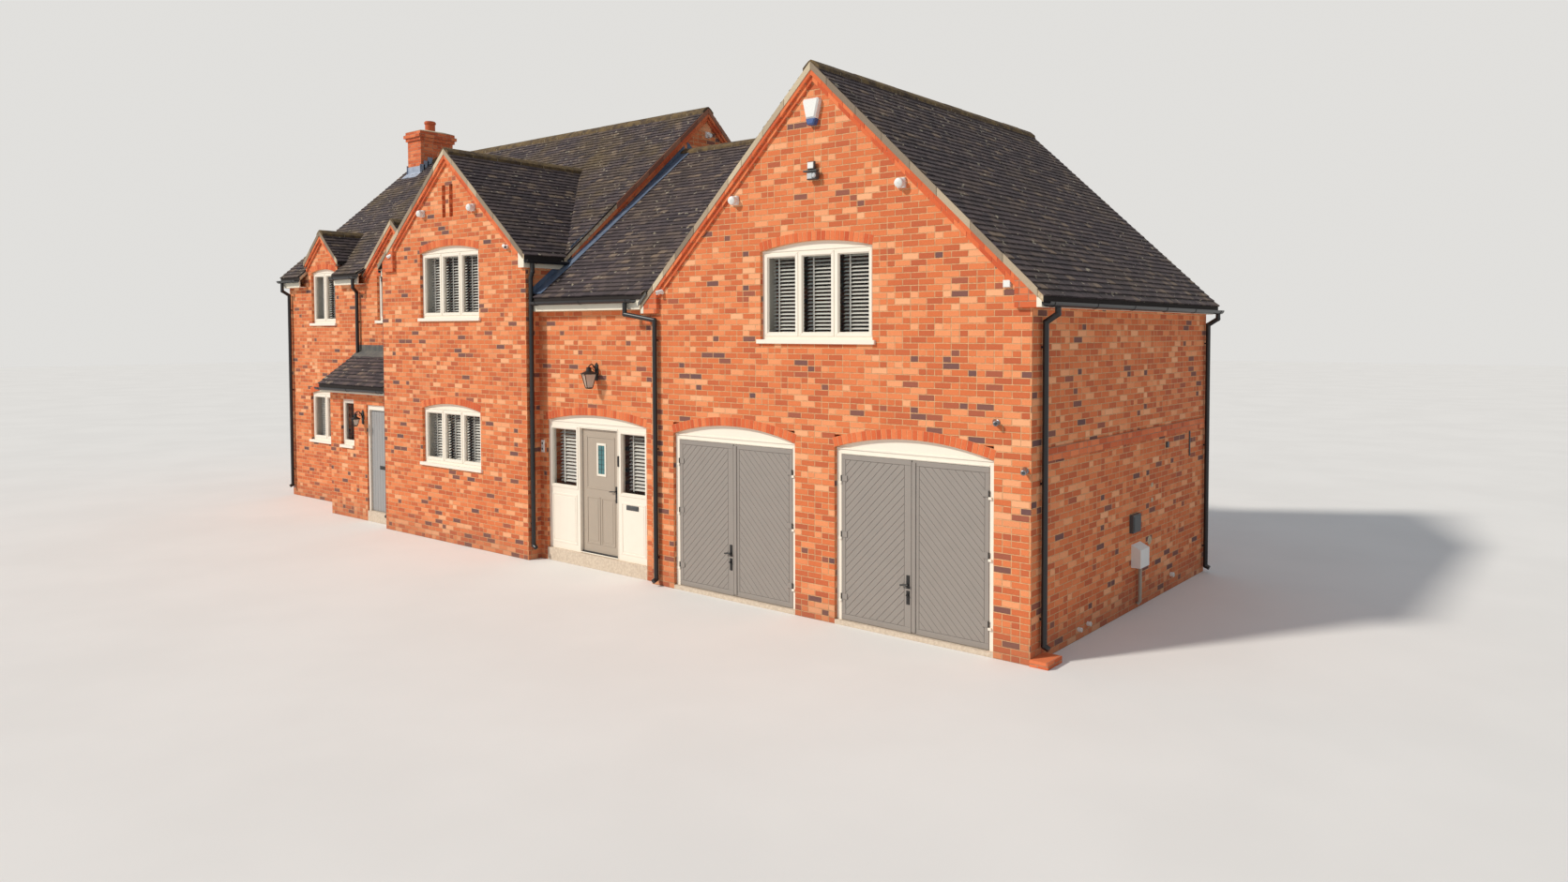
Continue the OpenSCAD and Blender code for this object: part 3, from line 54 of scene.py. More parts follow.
class Mat:
    def __init__(s, name, rough=0.6, metal=0.0, spec=0.5):
        s.m = bpy.data.materials.new(name)
        s.m.use_nodes = True
        s.t = s.m.node_tree
        s.b = s.t.nodes["Principled BSDF"]
        s.b.inputs["Roughness"].default_value = rough
        s.b.inputs["Metallic"].default_value = metal
        s.b.inputs["Specular IOR Level"].default_value = spec
        s.coord = s.t.nodes.new("ShaderNodeTexCoord")

    def put(s, sock, v):
        if isinstance(v, bpy.types.NodeSocket):
            s.t.links.new(v, sock)
        elif isinstance(v, str):
            sock.default_value = rgb(v)
        elif v is not None:
            sock.default_value = v

    def node(s, kind, *ins, **props):
        n = s.t.nodes.new("ShaderNode" + kind)
        for k, v in props.items():
            setattr(n, k, v)
        for i, v in enumerate(ins):
            s.put(n.inputs[i], v)
        return n

    def math(s, op, a, b=0.0, c=None):
        return s.node("Math", a, b, c, operation=op).outputs[0]

    def add(s, a, b):
        return s.math("ADD", a, b)

    def sub(s, a, b):
        return s.math("SUBTRACT", a, b)

    def mul(s, a, b):
        return s.math("MULTIPLY", a, b)

    def mad(s, a, b, c):
        """a * b + c"""
        return s.math("MULTIPLY_ADD", a, b, c)

    def mix(s, f, a, b, blend="MIX"):
        n = s.node("Mix", data_type="RGBA", blend_type=blend)
        s.put(n.inputs[0], f)
        s.put(n.inputs[6], a)
        s.put(n.inputs[7], b)
        return n.outputs[2]

    def shaded(s, c, tone):
        """The colour c times the grey tone."""
        return s.mix(1.0, c, s.node("CombineColor", tone, tone, tone).outputs[0], "MULTIPLY")

    def obj(s):
        return s.coord.outputs["Object"]

    def xyz(s, sock):
        return s.node("SeparateXYZ", sock).outputs

    def noise(s, scale, detail=3.0, rough=0.55, vec=None):
        n = s.node("TexNoise")
        s.put(n.inputs["Vector"], vec or s.obj())
        n.inputs["Scale"].default_value = scale
        n.inputs["Detail"].default_value = detail
        n.inputs["Roughness"].default_value = rough
        return n.outputs[0]

    def ramp(s, fac, stops):
        n = s.node("ValToRGB", fac)
        cr = n.color_ramp
        while len(cr.elements) < len(stops):
            cr.elements.new(0.5)
        for e, (p, c) in zip(cr.elements, stops):
            e.position = p
            e.color = rgb(c)
        return n.outputs[0]

    def step(s, v, lo, hi):
        n = s.node("MapRange", v, lo, hi, 0.0, 1.0, interpolation_type="SMOOTHSTEP")
        return n.outputs[0]

    def bump(s, height, dist):
        n = s.node("Bump")
        n.inputs["Strength"].default_value = 1.0
        n.inputs["Distance"].default_value = dist
        s.put(n.inputs["Height"], height)
        s.put(s.b.inputs["Normal"], n.outputs[0])

    def colour(s, c):
        s.put(s.b.inputs["Base Color"], c)
        return s

    def rough(s, c):
        s.put(s.b.inputs["Roughness"], c)
        return s


def attr(m, name="rnd"):
    return m.node("Attribute", attribute_name=name).outputs["Fac"]


def dim(code, factor):
    """A colour, darkened."""
    return tuple(v * factor for v in rgb(code)[:3]) + (1,)


# Brickwork: stretchers of 225 by 75 mm with their joints, about a quarter of them split into
# headers, and each brick with its own tone
BRICK_L, COURSE = 0.225, 0.075
HEADERS = 0.24


def brick(name, tones, mortar, z0=0.0, soot=0.0):
    m = Mat(name, 0.86, 0.0, 0.25)
    x, y, z = m.xyz(m.obj())
    nx = m.xyz(m.coord.outputs["Normal"])[0]
    side = m.math("GREATER_THAN", m.math("ABSOLUTE", nx), 0.7)
    u = m.mad(m.sub(m.add(y, BRICK_L / 2), x), side, x)
    wob = m.noise(9.0, 2.0)
    v = m.mad(wob, 0.004, m.add(z, z0 + 20.25))
    vr = m.math("DIVIDE", v, COURSE)
    row = m.math("FLOOR", vr)
    odd = m.math("MODULO", row, 2.0)
    ur = m.math("DIVIDE", m.add(u, 90.0), BRICK_L)
    ur = m.mad(odd, 0.5, ur)
    col = m.math("FLOOR", ur)
    fu = m.sub(ur, col)
    fv = m.sub(vr, row)
    split = m.node("TexWhiteNoise", noise_dimensions="3D")
    m.put(split.inputs["Vector"], m.node("CombineXYZ", row, side, col).outputs[0])
    split = m.math("GREATER_THAN", split.outputs["Value"], 1.0 - HEADERS)
    half = m.mul(m.math("GREATER_THAN", fu, 0.5), split)
    fu = m.math("FRACT", m.mul(fu, m.add(split, 1.0)))
    col = m.mad(half, 0.5, col)
    du = m.mul(m.math("MINIMUM", fu, m.sub(1.0, fu)), m.mad(split, -BRICK_L / 2, BRICK_L))
    dv = m.mul(m.math("MINIMUM", fv, m.sub(1.0, fv)), COURSE)
    d = m.math("MINIMUM", du, dv)
    fine = m.noise(70.0, 4.0, 0.65)
    d = m.mad(m.sub(fine, 0.5), 0.004, d)
    face = m.step(d, 0.0036, 0.0070)
    cell = m.node("CombineXYZ", col, row, side).outputs[0]
    wn = m.node("TexWhiteNoise", noise_dimensions="3D")
    m.put(wn.inputs["Vector"], cell)
    r1 = wn.outputs["Value"]
    r2 = m.xyz(wn.outputs["Color"])[0]
    base = m.ramp(r1, tones)
    shade = m.mad(r2, 0.14, 0.93)
    blotch = m.mad(fine, 0.34, 0.83)
    base = m.shaded(base, m.mul(shade, blotch))
    wide = m.noise(0.55, 3.0, 0.6)
    base = m.mix(m.mul(m.step(wide, 0.52, 0.75), 0.16), base, "a45c4e")
    joint = m.mix(m.step(m.noise(24.0, 3.0), 0.35, 0.65), mortar, dim(mortar, 0.78))
    c = m.mix(face, joint, base)
    if soot:
        low = m.sub(1.0, m.step(m.mad(wide, 0.5, z), 0.25, 0.75))
        c = m.mix(m.mul(low, soot), c, "785c4e")
    m.colour(c)
    m.rough(m.mad(fine, 0.12, 0.8))
    m.bump(m.mad(fine, 0.3, face), 0.0035)
    return m.m


STOCK = [(0.0, "745452"), (0.035, "8c5c50"), (0.06, "c66642"), (0.4, "d87446"),
         (0.68, "e08050"), (0.88, "e79363"), (1.0, "eeac80")]
RED = [(0.0, "c8603c"), (0.5, "d86e44"), (1.0, "e48456")]
MORTAR = "e2ae80"

m_brick = brick("brickwork", STOCK, MORTAR, soot=0.35)
m_string = brick("brick_string", RED, "c48c6c", z0=-2.21)
m_kneel = brick("brick_kneeler", RED, "c48c6c", z0=-3.91)
m_stack = brick("brick_stack", RED, "ce9676")


def loose_brick(name, lo, mid, hi):
    """A stuff for small pieces, each with its own tone."""
    m = Mat(name, 0.85, 0.0, 0.25)
    fine = m.noise(60.0, 4.0, 0.65)
    c = m.ramp(attr(m), [(0.0, lo), (0.5, mid), (1.0, hi)])
    m.colour(m.shaded(c, m.mad(fine, 0.4, 0.8)))
    m.bump(fine, 0.0012)
    return m.m


m_red = loose_brick("red_brick", "c65a38", "da6c40", "e88454")


def rough_stuff(name, a, b, scale, rough=0.9, dist=0.002):
    """A matt stuff in two tones that run into each other."""
    m = Mat(name, rough, 0.0, 0.25)
    n = m.noise(scale, 4.0, 0.62)
    m.colour(m.mix(m.step(n, 0.3, 0.7), a, b))
    m.rough(m.mad(n, 0.15, rough - 0.08))
    m.bump(n, dist)
    return m.m


m_joint = rough_stuff("arch_joint", "e8b080", "d69a70", 30.0)
m_mortar = rough_stuff("verge_mortar", "d6c8ac", "b09e82", 18.0)
m_concrete = rough_stuff("concrete", "dcccb8", "c8b6a2", 26.0)
m_timber = rough_stuff("floor_timber", "b08c62", "96724c", 6.0, 0.7)
m_plaster = rough_stuff("plaster", "ece8dc", "e2ddcf", 8.0, 0.8, 0.0005)
m_terra = rough_stuff("terracotta", "d46e46", "be5c3a", 22.0, 0.8)
m_lead = rough_stuff("lead", "50627c", "6a7688", 7.0, 0.55, 0.0015)
m_lead_pale = rough_stuff("lead_pale", "96a0b2", "b0baca", 7.0, 0.55, 0.0015)
m_lead_old = rough_stuff("lead_weathered", "545454", "706c64", 9.0, 0.65, 0.0015)
m_verge = loose_brick("verge_mortar_bed", "847666", "b09e86", "d0c0a4")
m_verge_red = loose_brick("verge_red_bed", "7c5244", "966450", "a87a62")


# Plain clay tiles: each tile has its own tone; pale lichen spots, moss near the ridges
def tile_mat(name, moss):
    m = Mat(name, 0.8, 0.0, 0.3)
    fine = m.noise(55.0, 4.0, 0.65)
    wide = m.noise(0.9, 4.0, 0.6)
    c = m.ramp(attr(m), [(0.0, "3c3438"), (0.35, "4a4043"), (0.7, "564a4b"), (0.93, "645650"), (1.0, "806e60")])
    c = m.shaded(c, m.mad(fine, 0.5, 0.75))
    c = m.mix(m.mul(m.step(wide, 0.42, 0.7), moss), c, "705e40")
    # painted shadow: each tile is darkened towards 161314 along the strip just under the tail of the course above
    shade = m.sub(1.0, m.step(m.mad(fine, 0.08, attr(m, "run")), 0.30, 0.50))
    c = m.mix(m.mul(shade, 0.78), c, "161314")
    spots = m.step(m.noise(13.0, 2.0, 0.4), 0.685, 0.715)
    c = m.mix(m.mul(spots, 0.85), c, "b0a692")
    m.colour(c)
    m.rough(m.mad(fine, 0.2, 0.68))
    m.bump(fine, 0.0012)
    return m.m


m_tile = tile_mat("roof_tiles", 0.16)
m_tile_old = tile_mat("roof_tiles_mossy", 0.75)
m_ridge = rough_stuff("ridge_caps", "766242", "483c32", 7.0, 0.85, 0.004)


# The body of a roof under its tiles: mortar at the verges, dark at the eaves
def roof_body(name, axis):
    m = Mat(name, 0.85, 0.0, 0.25)
    n = m.noise(20.0, 4.0)
    comp = m.xyz(m.coord.outputs["Normal"])[axis]
    flat = m.step(m.math("ABSOLUTE", comp), 0.9, 0.95)
    pale = m.mix(m.step(n, 0.3, 0.7), "d8c6a8", "b29676")
    m.colour(m.mix(flat, "342e2c", pale))
    m.bump(n, 0.003)
    return m.m


m_roof_y = roof_body("roof_body_front", 1)
m_roof_x = roof_body("roof_body_side", 0)


def paint(name, c, rough=0.45, dirt=0.12, grain=0.0, metal=0.0, streak=True, pins=None):
    """A smooth coat with faint dirt; pins are the places of hinges."""
    m = Mat(name, rough, metal, 0.5)
    x, y, z = m.xyz(m.obj())
    n = m.noise(5.0, 4.0, 0.6)
    fine = m.noise(90.0, 3.0, 0.6)
    f = m.mul(m.step(n, 0.42, 0.72), dirt)
    base = m.mix(f, c, dim(c, 0.72))
    if streak:
        # runs of dirt: noise drawn out along the height
        vec = m.node("CombineXYZ", m.mul(x, 14.0), m.mul(y, 14.0), m.mul(z, 1.1)).outputs[0]
        st = m.noise(1.0, 3.0, 0.6, vec)
        base = m.mix(m.mul(m.step(st, 0.5, 0.8), dirt), base, dim(c, 0.8))
    if pins:
        # the barrels of the hinges, near the pins and in front of the leaves, are black
        near = 1.0
        for x0 in pins:
            near = m.math("MINIMUM", m.math("ABSOLUTE", m.sub(x, x0 + OX)), near)
        barrel = m.mul(m.math("LESS_THAN", near, 0.013), m.math("LESS_THAN", y, 0.0505 + OY))
        base = m.mix(barrel, base, "3a3836")
    m.colour(base)
    m.rough(m.mad(fine, 0.12, rough - 0.06))
    m.bump(fine, 0.0003 + grain)
    return m.m


m_cream = paint("cream_paint", "f6edde", 0.42, 0.08)
m_fascia = paint("cream_fascia", "f0e8d4", 0.5, 0.2)
m_leaf = paint("garage_grey", "968e87", 0.5, 0.12, 0.0003)
PINS = [-5.575, -3.465, -2.655, -0.545]
m_leaf_hinged = paint("garage_grey_leaf", "968e87", 0.5, 0.12, 0.0003, pins=PINS)
# the grooves' grey, darker than the leaves' grey: painted shade in the gaps between the boards
m_groove_shade = paint("garage_groove_shade", "605a55", 0.6, 0.1)
m_taupe = paint("front_taupe", "b0a292", 0.45, 0.08, 0.0003)
m_porch = paint("porch_grey", "9e9e9e", 0.5, 0.08, 0.0003)
m_black = paint("black_plastic", "222224", 0.36, 0.3)
m_iron = paint("black_iron", "1e1d1d", 0.5, 0.3)
m_white = paint("white_plastic", "ecece8", 0.4, 0.08)
m_blue = paint("blue_plastic", "466096", 0.4, 0.08)
m_dark = paint("dark_grey_plastic", "4a4c4e", 0.5, 0.15)
m_slat = paint("blind_slats", "f6f3ea", 0.5, 0.04, streak=False)
m_steel = paint("cowl_steel", "96989e", 0.35, 0.2, metal=0.9)
m_lens = paint("lamp_lens", "c4c8ca", 0.15, 0.1, streak=False)
m_pipe = paint("grey_duct", "aca496", 0.6, 0.2)


def glass(name, tint, alpha=0.3, rough=0.03):
    m = Mat(name, rough, 0.0, 0.8)
    m.b.inputs["IOR"].default_value = 1.5
    m.b.inputs["Alpha"].default_value = alpha
    n = m.noise(1.6, 2.0)
    m.colour(m.mix(m.step(n, 0.3, 0.7), tint, dim(tint, 0.8)))
    m.bump(n, 0.0006)
    return m.m


m_glass = glass("window_pane", "2c3438", 0.08)
m_lamp_glass = glass("lantern_glass", "e8decc", 0.6, 0.12)
m_leaded = glass("leaded_glass", "468084", 0.9, 0.15)


def dress(nodes, mat):
    for n in nodes.split():
        o = NODES[n]
        o.data.materials.clear()
        o.data.materials.append(mat)


for names, mat in (
        ("garage_piers garage_gable_wall garage_side_walls garage_rear_wall link_piers link_front_wall "
         "link_rear_wall bay_front_wall bay_left_wall house_right_wall main_front_wall house_left_wall "
         "house_rear_wall porch_piers porch_lintel", m_brick),
        ("chimney_stack", m_stack), ("string_course corner_kerb", m_string), ("gable_corbels", m_kneel),
        ("brick_arches", m_joint), ("ground_floors", m_concrete), ("first_floors", m_timber),
        ("garage_roof bay_roof gablet_roofs", m_roof_y), ("link_roof main_roof porch_roof", m_roof_x),
        ("fascias", m_fascia), ("window_glass", m_glass), ("rainwater_goods", m_black),
        ("garage_door_frames entrance_screen porch_door_frame window_frames", m_cream),
        ("garage_leaf_1 garage_leaf_2 garage_leaf_3 garage_leaf_4", m_leaf_hinged),
        ("front_door", m_taupe), ("porch_door", m_porch), ("chimney_pot", m_terra)):
    dress(names, mat)


# Meshes
def double_area(poly):
    """Twice the signed area of an outline."""
    return sum(a[0] * b[1] - b[0] * a[1] for a, b in zip(poly, poly[1:] + poly[:1]))


def inset(poly, c):
    """The outline moved inwards by c."""
    n = len(poly)
    s = 1.0 if double_area(poly) > 0 else -1.0
    out = []
    for i in range(n):
        a, b, d = poly[i - 1], poly[i], poly[(i + 1) % n]
        e1 = Vector((b[0] - a[0], b[1] - a[1])).normalized()
        e2 = Vector((d[0] - b[0], d[1] - b[1])).normalized()
        n1, n2 = Vector((-e1.y, e1.x)) * s, Vector((-e2.y, e2.x)) * s
        k = n1 + n2
        k = k / max(0.15, 1.0 + n1.dot(n2))
        out.append((b[0] + k.x * c, b[1] + k.y * c))
    return out


def clip(poly, nx, ny, lim):
    """The part of a convex polygon where nx * u + ny * v <= lim."""
    out = []
    for i in range(len(poly)):
        a, b = poly[i], poly[(i + 1) % len(poly)]
        da, db = nx * a[0] + ny * a[1] - lim, nx * b[0] + ny * b[1] - lim
        if da <= 0:
            out.append(a)
        if (da < 0 < db) or (db < 0 < da):
            t = da / (da - db)
            out.append((a[0] + (b[0] - a[0]) * t, a[1] + (b[1] - a[1]) * t))
    return out


def loft(n, rings):
    """Faces of a closed body of so many rings of n points each."""
    faces = [[k * n + i, k * n + (i + 1) % n, (k + 1) * n + (i + 1) % n, (k + 1) * n + i]
             for k in range(rings - 1) for i in range(n)]
    return faces + [list(range(n))[::-1], [(rings - 1) * n + i for i in range(n)]]


def quad(u0, u1, v0, v1):
    return [(u0, v0), (u1, v0), (u1, v1), (u0, v1)]


class Build:
    """A mesh under construction: points, faces, material indices, a random tone and a run value."""

    def __init__(s):
        s.v, s.f, s.m, s.r, s.e = [], [], [], [], []

    def add(s, pts, faces, mat=0, rnd=0.0):
        k = len(s.v)
        s.v += [tuple(p) for p in pts]
        s.r += [rnd] * len(pts)
        s.f += [[k + i for i in f] for f in faces]
        s.m += [mat] * len(faces)

    def prism(s, poly, d0, d1, at, mat=0, cham=0.0, rnd=0.0):
        """A closed block over a convex outline, from depth d0 to d1, its d1 edge chamfered."""
        rings = [(poly, d0)]
        if cham:
            rings += [(poly, d1 - math.copysign(cham, d1 - d0)), (inset(poly, cham), d1)]
        else:
            rings += [(poly, d1)]
        pts = [at(u, v, d) for ring, d in rings for u, v in ring]
        s.add(pts, loft(len(poly), len(rings)), mat, rnd)

    def rect(s, u0, u1, v0, v1, d0, d1, at, mat=0, cham=0.0, rnd=0.0):
        s.prism(quad(u0, u1, v0, v1), d0, d1, at, mat, cham, rnd)

    def box(s, x0, x1, y0, y1, z0, z1, mat=0, cham=0.0):
        s.prism(quad(x0, x1, y0, y1), z0, z1, lambda u, v, d: (u, v, d), mat, cham)

    def ring(s, u0, u1, v0, v1, w, d0, d1, at, mat=0, cham=0.0):
        o, i = quad(u0, u1, v0, v1), quad(u0 + w, u1 - w, v0 + w, v1 - w)
        for k in range(4):
            j = (k + 1) % 4
            s.prism([o[k], o[j], i[j], i[k]], d0, d1, at, mat, cham)

    def turn(s, profile, centre, n=20, mat=0, up=(0, 0, 1)):
        """A turned shape: profile of (radius, height) pairs about an axis through centre."""
        up = Vector(up).normalized()
        a = up.orthogonal().normalized()
        b = up.cross(a)
        c = Vector(centre)
        pts = []
        for r, h in profile:
            for i in range(n):
                t = 2 * math.pi * (i + 0.5) / n
                pts.append(c + up * h + a * (r * math.cos(t)) + b * (r * math.sin(t)))
        s.add(pts, loft(n, len(profile)), mat)

    def tube(s, path, r, n=10, mat=0):
        """A round bar along a path; r is its radius, or one radius for each point of the path."""
        path = [Vector(p) for p in path]
        pts = []
        side = None
        for i, p in enumerate(path):
            d = (path[min(i + 1, len(path) - 1)] - path[max(i - 1, 0)]).normalized()
            side = (side - d * side.dot(d)).normalized() if side else d.orthogonal().normalized()
            b = d.cross(side)
            rr = r[i] if isinstance(r, (list, tuple)) else r
            for k in range(n):
                t = 2 * math.pi * k / n
                pts.append(p + (side * math.cos(t) + b * math.sin(t)) * rr)
        s.add(pts, loft(n, len(path)), mat)

    def done(s, name, mats, body=HOUSE, slot=None, replaces=(), smooth=0, fix=True):
        me = bpy.data.meshes.new(name)
        me.from_pydata([(x + OX, y + OY, z) for x, y, z in s.v], [], s.f)
        for m in mats:
            me.materials.append(m)
        me.polygons.foreach_set("material_index", s.m)
        me.attributes.new("rnd", "FLOAT", "POINT").data.foreach_set("value", s.r)
        if s.e:
            me.attributes.new("run", "FLOAT", "POINT").data.foreach_set("value", s.e)
        me.update()
        if fix:
            bm = bmesh.new()
            bm.from_mesh(me)
            bmesh.ops.recalc_face_normals(bm, faces=bm.faces)
            bm.to_mesh(me)
            bm.free()
        o = bpy.data.objects.new(name, me)
        bpy.context.scene.collection.objects.link(o)
        if smooth:
            me.polygons.foreach_set("use_smooth", [True] * len(me.polygons))
            me.set_sharp_from_angle(angle=math.radians(smooth))
        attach(o, body)
        for n in replaces:
            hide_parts(n)
        return o


def wall(axis, at, out):
    """Maps (along, up, outward) of a wall face to a point."""
    if axis == "x":
        return lambda u, v, d: (u, at + out * d, v)
    return lambda u, v, d: (at + out * d, u, v)


def arc_r(w, rise):
    """The radius of an arc of width w and height rise."""
    return (w * w / 4 + rise * rise) / (2 * rise)


# Wall faces, and the roofs: the axis across the ridge, the ridge's place and height, the slope
GARAGE_FRONT, GARAGE_REAR, LINK_FRONT, PORCH_FRONT = 0.0, 5.6, 0.09, 0.05
BAY_FRONT, MAIN_FRONT, MAIN_REAR = -0.15, 0.705, 6.965
HOUSE_LEFT, BAY_LEFT, HOUSE_RIGHT = -18.9, -13.27, -8.88
VERGE_OUT = 0.06
Roof = namedtuple("Roof", "across at apex slope")
GARAGE = Roof("x", -3.06, 7.0, 0.918)
LINK = Roof("y", 3.3, 6.99, 0.8287)
MAIN = Roof("y", 3.835, 7.85, 0.911)
BAY = Roof("x", -11.075, 6.76, 0.84)
GABLET_1 = Roof("x", -17.35, 5.8, 0.86)
GABLET_2 = Roof("x", -14.425, 5.85, 0.86)
PORCH = Roof("y", 0.705, 3.24, 0.75)


def z_on(roof, u):
    """The height of a roof's plane at the place u across its ridge."""
    return roof.apex - roof.slope * abs(u - roof.at)


# Windows: axis, wall face, outward side, centre, width, sill, springing, rise, lights
LOWER, UPPER = (1.3, 2.31), (3.84, 5.03)
WINDOWS = [
    ("x", GARAGE_FRONT, -1, GARAGE.at, 1.83, 3.5, 4.7, 0.1, 3),
    ("x", GARAGE_REAR, 1, GARAGE.at, 1.83, 3.5, 4.7, 0.1, 3),
    ("x", GARAGE_REAR, 1, -7.5, 1.5, *LOWER, 0.1, 2),
    ("x", BAY_FRONT, -1, BAY.at, 1.8, *LOWER, 0.1, 3),
    ("x", BAY_FRONT, -1, BAY.at, 1.8, *UPPER, 0.1, 3),
    ("x", MAIN_FRONT, -1, -17.39, 1.2, 1.25, 2.32, 0.07, 2),
    ("x", MAIN_FRONT, -1, GABLET_1.at, 1.05, 3.79, 4.93, 0.07, 2),
    ("x", MAIN_FRONT, -1, GABLET_2.at, 1.34, 3.83, 4.77, 0.07, 2),
    ("y", HOUSE_LEFT, -1, MAIN.at, 1.2, *LOWER, 0.07, 2),
    ("y", HOUSE_LEFT, -1, MAIN.at, 1.2, *UPPER, 0.07, 2),
]
for i in range(3):
    x = -16.9 + 3.01 * i
    WINDOWS += [("x", MAIN_REAR, 1, x, 1.8, *LOWER, 0.1, 3),
                ("x", MAIN_REAR, 1, x, 1.2, 3.29857, 4.29857, 0.07, 2)]
PORCH_WIN = ("x", PORCH_FRONT, -1, -15.07, 0.52, 1.37, 2.33, 0.0, 1)
DOORWAYS = (-4.52, -1.6)
DOOR_ARCHES = [("x", GARAGE_FRONT, -1, x, 2.27, 2.22, 0.16) for x in DOORWAYS]
DOOR_ARCHES.append(("x", LINK_FRONT, -1, -7.52, 2.38, 2.25, 0.12))


# Brick arches: one tapered brick on end for each course width along the arch
ARCH_T = 0.118
b = Build()
for ax, at, out, c, w, spring, rise in DOOR_ARCHES + [q[:5] + q[6:8] for q in WINDOWS]:
    place = wall(ax, at, out)
    r = arc_r(w, rise)
    half = math.asin(w / 2 / r)
    n = round(2 * half * r / COURSE)
    zc = spring + rise - r
    for k in range(n):
        a0 = -half + 2 * half * k / n + 0.0042 / r
        a1 = -half + 2 * half * (k + 1) / n - 0.0042 / r
        r0, r1 = r + 0.002, r + ARCH_T
        poly = [(c + rr * math.sin(a), zc + rr * math.cos(a)) for rr, a in ((r0, a0), (r0, a1), (r1, a1), (r1, a0))]
        b.prism(poly, -0.02, 0.0025 + rng.random() * 0.001, place, 0, 0.0012, rng.random())
b.done("arch_bricks", [m_red], slot="dressing")


# Verges: wall face, outward side, roof, half width of the brickwork and of the roof, and what
# shows of a verge that another roof meets
VERGES = [
    (GARAGE_FRONT, -1, GARAGE, 2.87, 3.20, None),
    (GARAGE_REAR, 1, GARAGE, 2.87, 3.20, lambda u, z: u > GARAGE.at or z > z_on(LINK, GARAGE_REAR) + 0.12),
    (BAY_FRONT, -1, BAY, 2.195, 2.23, None),
    (MAIN_FRONT, -1, GABLET_1, 0.70, 0.75, None),
    (MAIN_FRONT, -1, GABLET_2, 1.095, 1.14, lambda u, z: u < BAY_LEFT or z > z_on(BAY, u)),
    (HOUSE_LEFT, -1, MAIN, 3.13, 3.28, None),
    (HOUSE_RIGHT, 1, MAIN, 3.13, 3.28, lambda u, z: z > z_on(LINK, u) + 0.05),
]
# the bay's bricks end at its kneelers
BRICK_LIMITS = {BAY: (-12.80, -8.99)}


# Bricks of the two oversailing courses that follow a verge
def rake_bricks(b, at, out, roof, half, keep):
    axis, c, apex, slope = roof
    lo, hi = BRICK_LIMITS.get(roof, (-100.0, 100.0))
    place = wall(axis, at, out)
    cosa = 1 / math.hypot(1, slope)
    for i, stand in enumerate((0.056, 0.028)):
        for side in (-1, 1):
            run = 0.01
            step = BRICK_L * cosa
            if i:
                run -= step / 2
            while run < half:
                r0, r1 = max(run + 0.004, 0.004), min(run + step - 0.004, half)
                run += step
                if r1 - r0 < 0.03:
                    continue
                u0, u1 = c + side * r0, c + side * r1
                if min(u0, u1) < lo or max(u0, u1) > hi:
                    continue
                z0 = apex - slope * r0 - COURSE * (1 + i)
                z1 = apex - slope * r1 - COURSE * (1 + i)
                if keep and not keep((u0 + u1) / 2, z1):
                    continue
                poly = [(u0, z0 - 0.004), (u1, z1 - 0.004), (u1, z1 - 0.071), (u0, z0 - 0.071)]
                b.prism(poly, stand - 0.01, stand + 0.0025 + rng.random() * 0.001, place, 0, 0.0012, rng.random())


b = Build()
for at, out, roof, half, roof_half, keep in VERGES:
    rake_bricks(b, at, out, roof, half, keep)
b.done("verge_bricks", [m_red], slot="dressing")


# The mortar beds along the verges, in lengths of their own tone
def verge_band(b, at, out, roof, half, mat, keep):
    axis, c, apex, slope = roof
    place = wall(axis, at + out * VERGE_OUT, out)
    slant = math.hypot(1, slope)
    for side in (-1, 1):
        r = 0.0
        while r < half - 0.05:
            r1 = min(r + rng.uniform(0.3, 0.62) / slant, half)
            u0, u1 = c + side * (r + 0.002), c + side * (r1 - 0.002)
            z0, z1 = apex - slope * (r + 0.002), apex - slope * (r1 - 0.002)
            hi, lo = rng.uniform(0.010, 0.016) * slant, rng.uniform(0.060, 0.066) * slant
            r = r1
            if keep and not keep((u0 + u1) / 2, z1):
                continue
            poly = [(u0, z0 + hi), (u1, z1 + hi), (u1, z1 - lo), (u0, z0 - lo)]
            b.prism(poly, -0.004, 0.006 + rng.random() * 0.003, place, mat, 0.003, rng.random())


b = Build()
for at, out, roof, half, roof_half, keep in VERGES:
    verge_band(b, at, out, roof, roof_half, int(at == HOUSE_RIGHT), keep)
b.done("verge_mortar", [m_verge, m_verge_red], slot="dressing")


# Roof tiles. Each slope is given by its lower corner, the length of its courses, the sense in
# which it rises, its roof, its run in plan and the regions, each a list of cutting planes.
TILE_W, GAUGE, TILE_GAP = 0.165, 0.1, 0.0012
TILE_POINTS = 9


